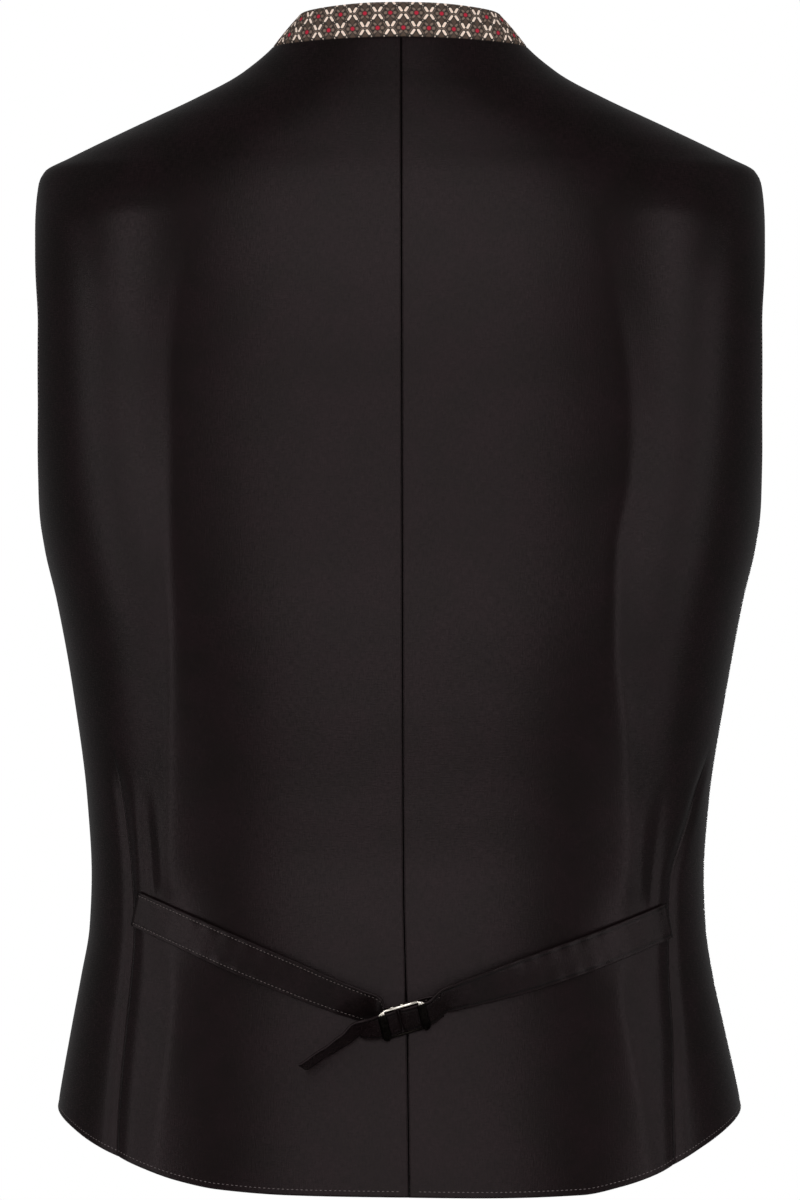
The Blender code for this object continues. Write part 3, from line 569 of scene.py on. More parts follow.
def panel_edges(column, hem_column, centre_turn, neck_height):
    """The four edge curves of a panel: hem, neck, centre edge and outer edge, by share of their length,
    for turns counted positive on the panel's own side."""
    centre_height = profile(CENTRE_ROWS, "share", column, place_scale=1.0)
    hem = profile(HEM, "turn", hem_column, place_scale=1.0)

    def inner(share):
        height = centre_height(share)
        return pair(centre_turn(height), height)

    def outer(share):
        return outer_edge(share, column + "_y")

    ends = [edge(np.array([share]))[0, 0] for share in (0.0, 1.0) for edge in (inner, outer)]

    def bottom(share):
        turn = (1 - share) * ends[0] + share * ends[1]
        return pair(turn, hem(np.minimum(turn, 360 - turn)))

    def top(share):
        turn = (1 - share) * ends[2] + share * ends[3]
        return pair(turn, neck_height(share, np.minimum(turn, 360 - turn)))

    return bottom, top, inner, outer


def coons(edges, across, up):
    """Turn and height inside four edge curves: each pair blended, less the corners' blend."""
    bottom, top, inner, outer = edges
    across, up = across[..., None], up[..., None]
    low_in, low_out = inner(np.zeros(1))[0], outer(np.zeros(1))[0]
    high_in, high_out = inner(np.ones(1))[0], outer(np.ones(1))[0]
    plain = ((1 - across) * inner(up[..., 0]) + across * outer(up[..., 0])
             + (1 - up) * bottom(across[..., 0]) + up * top(across[..., 0]))
    corners = ((1 - up) * ((1 - across) * low_in + across * low_out)
               + up * ((1 - across) * high_in + across * high_out))
    return plain - corners


def row_shares():
    """Shares of the rows from hem to neck, closer together at both edges."""
    low = np.array(EDGE_LINES) * MM / HEM_REACH
    high = 1 - np.array(EDGE_LINES[::-1]) * MM / NECK_REACH
    even = np.arange(ROWS * ROWS_PER_SHARE + 1) / (ROWS * ROWS_PER_SHARE)
    return np.concatenate((low, even[(even > low[-1]) & (even < high[0])], high))


def column_shares(width, anchor, columns):
    """Shares of the columns of each row: even on both sides of the anchor line, closer at the edges
    and beside the anchor.  Width and anchor are given row by row."""
    edge = np.array(EDGE_LINES) * MM
    crease = np.array(CREASE_LINES) * MM
    before, after = columns
    blocks = (
        # whole steps between the edges and the anchor, and offsets from them
        (np.zeros(len(edge)), edge),
        (np.arange(1, before) / before, np.zeros(before - 1)),
        (np.ones(len(crease)), crease),
        (1 + np.arange(1, after) / after, np.zeros(after - 1)),
        (np.full(len(edge), 2.0), -edge[::-1]),
    )
    fraction, offset = (np.concatenate(column) for column in zip(*blocks))
    anchor, width = anchor[:, None], width[:, None]
    place = np.where(fraction <= 1, anchor * fraction, anchor + (1 - anchor) * (fraction - 1))
    return np.sort(place + offset / width, axis=1)


def signed_distance(turn, height, centre):
    """Distance round the ring from the line at this turn, on either side of centre back."""
    radius = np.linalg.norm(ring_point(turn, height)[..., :2], axis=-1)
    return np.radians(np.abs(turn) - np.abs(centre)) * radius


def fold_push(turn, height, folds):
    """Sum of creases depth * strength * exp(s - sqrt((distance / width)^2 + s^2)) about their paths: the
    bottom is as sharp as s is small, and both walls run out softly."""
    push = 0.0 * height
    for one in folds:
        heights = [row.height * MM for row in one.path]
        centre = Profile(heights, [row.turn for row in one.path])(height)
        strength = Profile(heights, [row.strength for row in one.path])(height)
        outward = signed_distance(turn, height, centre)
        half_width = np.where(outward > 0, one.outer, one.inner)
        same_side = turn * centre > 0
        fall = np.exp(CREASE_SHARPNESS - np.sqrt((outward / half_width)**2 + CREASE_SHARPNESS**2))
        push = push + one.depth * strength * same_side * fall
    return push


class Panel:
    """The grid of a half back or a front: its places, smooth form, normals and distances from its edges.
    Anchor_of gives the share at which a line of columns runs, from the ends of the rows."""

    def __init__(self, side, edges, anchor_of, columns):
        self.rows = row_shares()
        ends_in, ends_out = (edge(self.rows) for edge in edges[2:])
        middle = (ends_in + ends_out) / 2
        self.width = np.abs(around(ends_out[:, 0], middle[:, 1], ends_in[:, 0]))
        self.across = column_shares(self.width, anchor_of(ends_in, ends_out), columns)
        up = self.rows[:, None] + 0.0 * self.across
        place = coons(edges, self.across, up)
        self.turn, self.height = side * place[..., 0], place[..., 1]
        self.smooth = ring_point(self.turn, self.height)
        self.normal = ring_normal(self.turn, self.height)
        self.from_centre = self.across * self.width[:, None]
        self.from_outer = (1 - self.across) * self.width[:, None]
        self.from_hem, self.from_neck = up * HEM_REACH, (1 - up) * NECK_REACH

    def armhole_groove(self):
        """1 along the armhole's stitches, and nothing along the side and the shoulder."""
        in_armhole = (smoothstep(UNDERARM_SHARE - 0.01, UNDERARM_SHARE + 0.01, self.rows)
                      * (1 - smoothstep(TIP_SHARE - 0.01, TIP_SHARE + 0.01, self.rows)))
        return in_armhole[:, None] * ridge(self.from_outer - ARMHOLE_STITCH.inset, 0.6 * MM)

    def make(self, names, look, push, uvs):
        """The panel's wall, pushed in or out of its smooth form, with rounded edges."""
        edge = np.minimum(np.minimum(self.from_centre, self.from_outer),
                          np.minimum(self.from_hem, self.from_neck))
        drop = edge_drop(edge, WALL)
        self.outside = self.smooth + self.normal * (push + drop)[..., None]
        inside = self.smooth + self.normal * (push - WALL - drop)[..., None]
        declare_cloth(cloth_wall(names, self.outside, inside, self.normal, look, uvs), self.smooth)
        return self


def half_back(side, material):
    """Half of the back, with its dart, folds, seam edges and turned hem."""
    name = SIDES[side]
    dart = profile(DARTS, "height", name, 1.0)

    def anchor_of(ends_in, ends_out):
        height = (ends_in[:, 1] + ends_out[:, 1]) / 2
        return (dart(height) - ends_in[:, 0]) / (ends_out[:, 0] - ends_in[:, 0])

    edges = panel_edges("back", name, lambda height: side * turn_at_x(height, DRIFT(height)),
                        lambda share, turn: back_neck(share))
    panel = Panel(side, edges, anchor_of, BACK_COLUMNS)
    turn, height = panel.turn, panel.height
    dart_at = signed_distance(turn, height, dart(height))
    below_apex = 1 - smoothstep(DART_APEX - DART_FADE, DART_APEX, height)
    push = fold_push(turn, height, BACK_FOLDS) - below_apex * (
        DART_DEPTH * ridge(dart_at, DART_HALF_WIDTH) + DART_SEAM_DEPTH * ridge(dart_at, DART_SEAM_HALF_WIDTH))
    strap_height = profile(LEFT_STRAP + RIGHT_STRAP, "x", "height")(panel.smooth[..., 0])
    under_strap = ridge(height - strap_height, STRAP_REACH)
    push = np.where(push > 0, push * (1 - under_strap), push)
    push = (push - STITCH_DEPTH * panel.armhole_groove()
            - HEM_GROOVE * ridge(panel.from_hem - HEM_STITCH.inset, 0.7 * MM)
            + PRESSED_RIDGE * ridge(panel.from_centre - PRESSED_INSET, 1.0 * MM))
    # distance to the centre seam and the dart, for the satin's painted shade along them
    seam = np.minimum(panel.from_centre, np.where(below_apex > 0.02, np.abs(dart_at), 1.0))
    return panel.make(("back_%s_satin" % name, "back_%s" % name), (material, "satin"), push, {
        "cloth": pair(around(turn, height, 0.0), -down_the_body(height, 0.0)),
        "seams": pair(seam, np.minimum(panel.from_outer, panel.from_hem))})


def front(side, material):
    """A front in the patterned cloth; the wearer's left one steps out to clear the right one."""
    name = SIDES[side]
    neckline = front_neck()
    edges = panel_edges("front", "left", lambda height: 360 - turn_at_x(height, LAP, behind=False),
                        lambda share, turn: neckline(turn))
    panel = Panel(side, edges, lambda ends_in, ends_out: np.full(len(ends_in), FRONT_ANCHOR), FRONT_COLUMNS)
    turn, height = panel.turn, panel.height
    push = fold_push(turn, height, FRONT_FOLDS)
    if side < 0:
        push = push + (WALL + SEAM_GAP) * smoothstep(*LAP_STEP, panel.smooth[..., 0])
    topstitched, hemmed = (ridge(distance - FRONT_GROOVE_INSET, 0.7 * MM)
                           for distance in (panel.from_centre, panel.from_hem))
    push = push - STITCH_DEPTH * (topstitched + panel.armhole_groove() + hemmed)
    return panel.make(("front_%s_cloth" % name, "front_%s" % name), (material, "patterned_cloth"), push, {
        "cloth": pair(around(np.abs(turn), height, 180.0) * side, -down_the_body(height, 180.0))})


def collar(material):
    """Low stand collar: its foot follows the neck seam, and it leans in by the lean angle."""
    back_turn = float(turn_at_y(NECK_SIDE, SHOULDER_SEAM_Y))
    share = np.arange(COLLAR_BACK_STATIONS) / COLLAR_BACK_STATIONS
    end_turn = float(turn_at_x(NECK_FRONT, COLLAR_END, behind=False))
    before = np.linspace(back_turn, end_turn, COLLAR_STATIONS - COLLAR_BACK_STATIONS + 1)
    right = np.concatenate([pair(back_turn * share, back_neck(share)), pair(before, front_neck()(before))])
    base = np.concatenate([right[:0:-1] * np.array([-1.0, 1.0]), right])
    lengths = lengths_along(ring_point(base[:, 0], base[:, 1]))
    total = lengths[-1]
    edge = np.array(EDGE_LINES) * MM
    places = np.unique(np.concatenate((edge, np.linspace(0, total, 2 * COLLAR_STATIONS)[1:-1],
                                       total - edge[::-1])))
    turn, height = (np.interp(places, lengths, base[:, k]) for k in range(2))
    foot, foot_normal = ring_point(turn, height), ring_normal(turn, height)
    tangent = unit(np.gradient(foot, axis=0))
    lean = np.radians(COLLAR_LEAN_BACK + (COLLAR_LEAN_FRONT - COLLAR_LEAN_BACK)
                      * smoothstep(100, 165, np.abs(turn)))[:, None]
    inward = unit(-foot * np.array([1.0, 1.0, 0.0]))
    rise = np.array([0.0, 0.0, 1.0]) * np.cos(lean) + inward * np.sin(lean)
    rise = unit(rise - tangent * np.sum(rise * tangent, axis=1, keepdims=True))
    outward = np.cross(tangent, rise)
    collar_height = COLLAR_HEIGHT - COLLAR_FALL * smoothstep(15, 75, np.abs(turn))
    up = np.concatenate((edge / COLLAR_HEIGHT, np.linspace(0.1, 0.9, 13), 1 - edge[::-1] / COLLAR_HEIGHT))
    up = up[:, None]
    line = foot + rise * ((collar_height + SEAM_GAP) * up)[..., None]
    blend = np.minimum(3 * up, 1)[..., None]
    facing = unit(foot_normal * (1 - blend) + outward * blend)
    along_edge = np.minimum(places, total - places)[None, :]
    drop = edge_drop(np.minimum(along_edge, np.minimum(up, 1 - up) * collar_height), COLLAR_WALL)
    crown = COLLAR_CROWN * np.sin(pi * up) * smoothstep(0, 12 * MM, along_edge)
    outside = line + facing * (drop + crown)[..., None]
    inside = line - facing * (COLLAR_WALL + drop)[..., None]
    from_centre = places - np.interp(0.0, turn, places)
    uv = pair(from_centre[None, :] * (1 - COLLAR_GATHER * up) - COLLAR_FLOWER_ACROSS,
              collar_height * up - COLLAR_FLOWER_UP)
    piece = cloth_wall(("collar_cloth", "collar"), outside, inside, facing, (material, "patterned_cloth"),
                       {"cloth": uv})
    declare_cloth(piece, line)


# ---------------------------------------------------------------- straps and buckle

def back_frame(x, height, tilt, slope):
    """Point of the back, its normal, and a strap's along, across and facing directions there."""
    turn = float(turn_at_x(height, x))
    foot, normal = Vector(ring_point(turn, height)), Vector(ring_normal(turn, height))
    level = Vector((0, 0, 1)).cross(normal).normalized()
    rise = normal.cross(level)
    along = level * cos(slope) + rise * sin(slope)
    upright = rise * cos(slope) - level * sin(slope)
    across = upright * cos(tilt) + normal * sin(tilt)
    return foot, normal, along, across, along.cross(across)


def buckle_frame():
    """The buckle's centre and its along, across and facing directions."""
    foot, normal, along, across, facing = back_frame(BUCKLE_X, BUCKLE_HEIGHT, BUCKLE_TILT, BUCKLE_TURN)
    centre = foot + normal * (BUCKLE_STAND + BUCKLE_WIDTH / 2 * sin(BUCKLE_TILT))
    return centre, along, across, facing


def strap_stations(rows):
    """Centres and across directions along a strap's table, in the order of its rows."""
    height_at = profile(rows, "x", "height")
    tilt_at = profile(rows, "x", "tilt", radians(1.0))
    stand_at = profile(rows, "x", "stand")
    length = (rows[-1].x - rows[0].x) * MM
    pieces = max(1, round(abs(length) / STRAP_STEP))
    stations = []
    for i in range(pieces + 1):
        x = rows[0].x * MM + length * i / pieces
        slope = float(height_at(x + MM) - height_at(x - MM)) / (2 * MM)
        tilt = float(tilt_at(x))
        foot, normal, _, across, _ = back_frame(x, float(height_at(x)), tilt, atan2(slope, 1.0))
        stand = float(stand_at(x)) + STRAP_WALL / 2 + STRAP_WIDTH / 2 * sin(tilt)
        stations.append((foot + normal * stand, across))
    return stations


def buckle_stations(places):
    """Stations of a strap inside the buckle, from (along, across, layer) places in millimetres."""
    centre, along, across, facing = buckle_frame()
    return [(centre + (along * place.along + across * place.across + facing * place.layer) * MM, across)
            for place in places]


def round_bar(bar, way):
    """Half turn of a strap round a bar: way is +1 to leave the bar on its right, -1 on its left."""
    centre = (bar + way * SEAM_GAP) / MM
    return [InBuckle(centre + way * STRAP_LAYER * cos(angle), 0.0, STRAP_LAYER * sin(angle))
            for angle in (radians(a) for a in (-90, -45, 0, 45, 90))]


def ribbon(side, stations, material):
    """Flat strap: a rounded oblong section, dimpled along both stitch lines, carried along its path.
    Returns its mid-line and the across and facing directions there."""
    centres, acrosses = (np.array([tuple(vector) for vector in column]) for column in zip(*stations))
    places = lengths_along(centres)
    samples = np.linspace(0, places[-1], round(places[-1] / STRAP_FINE_STEP))
    line, across = (np.stack([Profile(places, values[:, k])(samples) for k in range(3)], axis=1)
                    for values in (centres, acrosses))
    along = unit(np.gradient(line, axis=0))
    across = unit(across - along * np.sum(across * along, axis=1, keepdims=True))
    facing = unit(np.cross(along, across))

    half = STRAP_WIDTH / 2
    edge = np.array(STRAP_EDGE_LINES) * MM
    inner = half - edge[-1] - STRAP_EDGE_STEP
    sides = np.concatenate((-half + edge, np.linspace(-inner, inner, 7), half - edge[::-1]))
    from_edge = half - np.abs(sides)
    rounding = np.sqrt(1 - (1 - np.clip(from_edge / (0.6 * MM), 0, 1))**2)
    thick = STRAP_WALL / 2 * rounding - STRAP_DIMPLE * ridge(from_edge - STRAP_STITCH.inset, 0.5 * MM)
    end = np.minimum(samples, samples[-1] - samples)
    closing = np.sqrt(1 - (1 - np.clip(end / (0.8 * MM), 0, 1))**2)[:, None]
    ripple = (STRAP_RIPPLE * np.sin(samples * 2 * pi / STRAP_RIPPLE_PITCH)[:, None]
              * ridge(from_edge, STRAP_RIPPLE_REACH))
    middle = line[:, None] + across[:, None] * sides[None, :, None] + facing[:, None] * ripple[..., None]
    wall = facing[:, None] * (thick * closing)[..., None]
    name = "strap_%s" % SIDES[side]
    piece = cloth_wall((name + "_satin", name), middle + wall, middle - wall, facing[:, None] + 0.0 * middle,
                       (material, "satin"),
                       {"cloth": pair(sides[None, :], samples[:, None]),
                        # distance to the stitch lines, for the satin's painted shade along them
                        "seams": pair(np.abs(from_edge - STRAP_STITCH.inset)[None, :],
                                      from_edge[None, :] + 0.0 * samples[:, None])})
    return line, across, facing


# ---------------------------------------------------------------- stitches

def stitches(name, line, normals, stitch, material):
    """Thread capsules at an even pitch along a line on the cloth: three rings of six points, two tips."""
    lengths = lengths_along(line)
    places = np.arange(stitch.pitch, lengths[-1] - stitch.pitch / 2, stitch.pitch)

    def at(values, ahead=0.0):
        return np.stack([np.interp(places + ahead, lengths, values[:, k]) for k in range(3)], axis=1)

    directions = unit(at(line, stitch.pitch / 4) - at(line, -stitch.pitch / 4))
    normals = unit(at(normals))
    sides = unit(np.cross(normals, directions))
    angle = np.arange(6) * pi / 3
    rings = [(a, r * cos(b), r * sin(b)) for a, r in ((-0.32, 0.8), (0.0, 1.0), (0.32, 0.8)) for b in angle]
    form = (np.array([(-0.5, 0.0, 0.0)] + rings + [(0.5, 0.0, 0.0)])
            * np.array([stitch.length, stitch.radius, 0.7 * stitch.radius]))
    points = (at(line)[:, None] + directions[:, None] * form[None, :, :1]
              + sides[:, None] * form[None, :, 1:2] + normals[:, None] * form[None, :, 2:3])
    i = np.arange(6)
    j = (i + 1) % 6
    first = np.stack([0 * i, 1 + j, 1 + i], axis=-1)
    last = np.stack([0 * i + 19, 13 + i, 13 + j], axis=-1)
    quads = np.concatenate([np.stack([a + i, a + j, a + 6 + j, a + 6 + i], axis=-1) for a in (1, 7)])
    offsets = (np.arange(len(points)) * 20)[:, None, None]
    new_piece(name, points, (first + offsets, last + offsets, quads + offsets), material, "satin")


def strap_stitches(side, lines, material):
    """Both rows of stitches along a strap, on its outer face."""
    line, across, facing = lines
    for row, sign in (("upper", 1), ("lower", -1)):
        points = (line + across * sign * (STRAP_WIDTH / 2 - STRAP_STITCH.inset)
                  + facing * (STRAP_WALL / 2 + STRAP_STITCH.lift))
        stitches("strap_%s_stitches_%s" % (SIDES[side], row), points, facing, STRAP_STITCH, material)


def end_stitches(lines, material):
    """The row of stitches across the right strap that closes its turn round the buckle's bar."""
    line, across, facing = lines
    centre, buckle_along, _, _ = (np.array(v) for v in buckle_frame())
    station = int(np.argmax((line - centre) @ buckle_along < END_ROW_REACH))
    reach = np.linspace(-1, 1, 12) * (STRAP_WIDTH / 2 - END_STITCH.inset)
    points = line[station] + across[station] * reach[:, None] + facing[station] * (STRAP_WALL / 2)
    stitches("strap_right_end_stitches", points, facing[station] + 0.0 * points, END_STITCH, material)


def hem_stitches(name, panel, material):
    """Topstitches along the turned hem of a half back."""
    row = int(np.argmin(np.abs(panel.from_hem[:, 0] - HEM_STITCH.inset)))
    points, normals = panel.outside[row, 8:-8], panel.normal[row, 8:-8]
    stitches(name, points + normals * HEM_STITCH.lift, normals, HEM_STITCH, material)


def armhole_stitches(name, panel, material):
    """Topstitches a little in from the armhole's edge."""
    rows = np.nonzero((panel.rows > UNDERARM_SHARE + 0.004) & (panel.rows < TIP_SHARE - 0.004))[0]
    target = 1 - ARMHOLE_STITCH.inset / panel.width[rows]
    points = np.array([[np.interp(share, panel.across[row], panel.outside[row, :, k]) for k in range(3)]
                       for row, share in zip(rows, target)])
    normals = panel.normal[rows, -5]
    stitches(name, points + normals * ARMHOLE_STITCH.lift, normals, ARMHOLE_STITCH, material)


# ---------------------------------------------------------------- buckle and buttons

def clean_normals(piece):
    """Merges doubled points, closes open ends and turns every face outwards."""
    bm = bmesh.new()
    bm.from_mesh(piece.data)
    bmesh.ops.remove_doubles(bm, verts=bm.verts, dist=0.001 * MM)
    open_edges = [edge for edge in bm.edges if edge.is_boundary]
    if open_edges:
        bmesh.ops.holes_fill(bm, edges=open_edges)
    bmesh.ops.recalc_face_normals(bm, faces=bm.faces)
    bm.to_mesh(piece.data)
    bm.free()
    piece.data.shade_smooth()


def tube_quads(points, closed):
    """Quads between the rings of a tube, from an array of rings of points."""
    index = np.arange(points.shape[0] * points.shape[1]).reshape(points.shape[:2])
    ahead = np.roll(index, -1, axis=0) if closed else index[1:]
    here = index if closed else index[:-1]
    return np.stack([here, np.roll(here, -1, axis=1), np.roll(ahead, -1, axis=1), ahead], axis=-1)


def swept(path, across, facing, radius_across):
    """The buckle's elliptic section carried along a path: point = path + cos * across + sin * facing."""
    angle = np.arange(BUCKLE_SIDES) * 2 * pi / BUCKLE_SIDES
    widths = (radius_across + np.zeros(len(path)))[:, None, None]
    return (path[:, None] + across[:, None] * np.cos(angle)[None, :, None] * widths
            + facing * np.sin(angle)[None, :, None] * (BUCKLE_THICKNESS / 2))


def buckle_frame_path():
    """The frame's mid-line in the buckle's own plane, from its right upper corner, and its outward
    direction: two long rails and two ends joined by quarter circles."""
    half_length = (BUCKLE_LENGTH - BUCKLE_RAIL) / 2
    half_width = (BUCKLE_WIDTH - BUCKLE_RAIL) / 2
    flat, outward = [], []
    for sx, sy, start in ((1, 1, 0), (-1, 1, 90), (-1, -1, 180), (1, -1, 270)):
        angle = np.radians(start + np.linspace(0, 90, 9))
        way = pair(np.cos(angle), np.sin(angle))
        flat.append(np.array([sx * (half_length - BUCKLE_CORNER), sy * (half_width - BUCKLE_CORNER)])
                    + BUCKLE_CORNER * way)
        outward.append(way)
    return np.concatenate(flat), np.concatenate(outward)


def buckle(frame_metal, rail_highlight_metal):
    """Stamped slide buckle: two rails and two bars, and broad ends that arch over the straps.  Its top rail
    takes a pale metal, a painted highlight.
    """
    centre, along, across, facing = (np.array(v) for v in buckle_frame())
    half_width = (BUCKLE_WIDTH - BUCKLE_RAIL) / 2
    flat, outward = buckle_frame_path()
    to_end = smoothstep(BUCKLE_LENGTH / 2 - 2 * BUCKLE_CORNER, BUCKLE_LENGTH / 2 - 0.6 * BUCKLE_CORNER,
                        np.abs(flat[:, 0]))
    inset = (END_PLATE - BUCKLE_RAIL) / 2 * to_end
    flat = flat - pair(np.sign(flat[:, 0]) * inset, 0.0)
    path = centre + along * flat[:, :1] + across * flat[:, 1:] + facing * (END_RISE * to_end)[:, None]
    out = along * outward[:, :1] + across * outward[:, 1:]
    rings = swept(path, out, facing, BUCKLE_RAIL / 2 + inset * np.abs(outward[:, 0]))
    points, quads = [rings.reshape(-1, 3)], [tube_quads(rings, True)]
    for bar in (LEFT_BAR, RIGHT_BAR):
        path = centre + along * bar + across * np.linspace(-half_width, half_width, 9)[:, None]
        rings = swept(path, along[None] + 0.0 * path, facing, BUCKLE_RAIL / 2)
        quads.append(tube_quads(rings, False) + sum(len(block) for block in points))
        points.append(rings.reshape(-1, 3))
    piece = new_piece("buckle_frame", np.concatenate(points), quads, frame_metal, "dark_metal", "buckle")
    clean_normals(piece)
    # painted highlight: the faces of the top rail get a second, pale metal where the rail catches the light
    piece.data.materials.append(rail_highlight_metal)
    middles = np.zeros(len(piece.data.polygons) * 3)
    piece.data.polygons.foreach_get("center", middles)
    highlit_rail = (middles.reshape(-1, 3) - centre) @ across > half_width - 0.3 * BUCKLE_RAIL
    piece.data.polygons.foreach_set("material_index", highlit_rail.astype(int))


def button(number, material):
    """Domed button: a turned profile with a rolled rim, a groove and a low crown."""
    height = BUTTON_TOP - (number - 1) * BUTTON_PITCH
    normal = ring_normal(180.0, height)
    foot = ring_point(180.0, height) + normal * (WALL + 2 * SEAM_GAP)
    across = unit(np.cross(np.array([0.0, 0.0, 1.0]), normal))
    rise = np.cross(normal, across)
    angle = (np.arange(BUTTON_SIDES) * 2 * pi / BUTTON_SIDES)[:, None]
    spoke = across * np.cos(angle) + rise * np.sin(angle)
    rows = np.array(BUTTON_PROFILE)[..., None]
    points = foot + spoke[None] * (rows[:, :1] * BUTTON_RADIUS) + normal * (rows[:, 1:] * MM)
    piece = new_piece("button_%d_metal" % number, points, [tube_quads(points, False)], material,
                      "antique_silver", "button_%d" % number)
    clean_normals(piece)


# ---------------------------------------------------------------- materials

def colour(hex_value):
    """sRGB hex to linear RGBA."""
    channels = [int(hex_value[i:i + 2], 16) / 255 for i in (1, 3, 5)]
    return tuple(c / 12.92 if c <= 0.04045 else ((c + 0.055) / 1.055)**2.4 for c in channels) + (1.0,)


def add(tree, kind, *inputs, out=0, named=None, **settings):
    """Adds one node: its settings, its inputs in order (None leaves one alone) and its named inputs."""
    node = tree.nodes.new("ShaderNode" + kind)
    for key, value in settings.items():
        setattr(node, key, value)
    for key, value in list(enumerate(inputs)) + list((named or {}).items()):
        if isinstance(value, bpy.types.NodeSocket):
            tree.links.new(value, node.inputs[key])
        elif value is not None:
            node.inputs[key].default_value = value
    return node.outputs[out] if len(node.outputs) else None


def new_material(name):
    """An empty node tree, and the function that ends it in a Principled shader."""
    material = bpy.data.materials.new(name)
    material.use_nodes = True
    tree = material.node_tree
    tree.nodes.clear()

    def finish(**sockets):
        named = {key.replace("_", " "): value for key, value in sockets.items()}
        add(tree, "OutputMaterial", add(tree, "BsdfPrincipled", named=named))
        return material

    return tree, finish


def number(tree, operation, *values):
    return add(tree, "Math", *values, operation=operation)


def vector(tree, operation, *values, out=0, **named):
    return add(tree, "VectorMath", *values, out=out, named=named, operation=operation)


def ramp(tree, value, low, high, at_low=0.0, at_high=1.0):
    """Smooth step of a value between two limits."""
    return add(tree, "MapRange", value, low, high, at_low, at_high, interpolation_type="SMOOTHSTEP")


def within(tree, value, low, high):
    """1 up to the low limit, 0 from the high one."""
    return ramp(tree, value, low, high, 1.0, 0.0)


def painted(tree, under, over, share):
    """Colour over another, by a share from 0 to 1."""
    return add(tree, "MixRGB", share, under, over)


def streaks(tree, place, scale):
    """Noise drawn out along one direction: threads or fine scratches."""
    stretched = add(tree, "Mapping", place, named={"Scale": scale})
    return add(tree, "TexNoise", stretched, named={"Scale": 1.0, "Detail": 2.0})


def black_satin():
    """Black cotton and viscose satin: smooth floats that give it a soft sheen, and fine slubs."""
    tree, finish = new_material("black_satin")
    cloth = add(tree, "UVMap", uv_map="cloth")
    seam = add(tree, "SeparateXYZ", add(tree, "UVMap", uv_map="seams"))
    threads = number(tree, "ADD", streaks(tree, cloth, (1500, 260, 1)), streaks(tree, cloth, (300, 1500, 1)))
    blotch = add(tree, "TexNoise", cloth, named={"Scale": 38.0, "Detail": 3.0})
    base = painted(tree, colour("#0c0808"), colour("#0f090a"), ramp(tree, blotch, 0.35, 0.65))
    tone = add(tree, "MapRange", threads, 0.7, 1.3, 0.55, 1.5)
    base = add(tree, "MixRGB", 1.0, base, tone, blend_type="MULTIPLY")
    # painted shade: the satin is darkened along the centre seam, the darts and the straps' stitch lines,
    # where their grooves fall into shade
    base = painted(tree, base, colour("#060505"), within(tree, seam, 0.0002, 0.0007))
    bump = add(tree, "Bump", named={"Strength": 0.25, "Distance": 0.0002, "Height": threads})
    return finish(Base_Color=base, Roughness=ramp(tree, threads, 0.7, 1.3, 0.32, 0.26), Normal=bump,
                  Specular_IOR_Level=0.085, Specular_Tint=colour("#ffecef"))


def capsule(tree, point, start, end):
    """Distance from a point to the segment between two places."""
    way = tuple(b - a for a, b in zip(start, end))
    square = sum(w * w for w in way)
    offset = vector(tree, "SUBTRACT", point, start)
    share = add(tree, "Clamp", vector(tree, "DOT_PRODUCT", offset, tuple(w / square for w in way), out=1))
    return vector(tree, "DISTANCE", offset, vector(tree, "SCALE", way, Scale=share), out=1)


def oval(tree, point, centre, radii, turn=0.0):
    """Distance from an ellipse's centre in units of its radii: 1 on its edge."""
    offset = vector(tree, "SUBTRACT", point, centre)
    turned = add(tree, "VectorRotate", offset, named={"Angle": radians(-turn)}, rotation_type="Z_AXIS")
    scaled = vector(tree, "MULTIPLY", turned, tuple(1 / r for r in radii) + (0.0,))
    return vector(tree, "LENGTH", scaled, out=1)


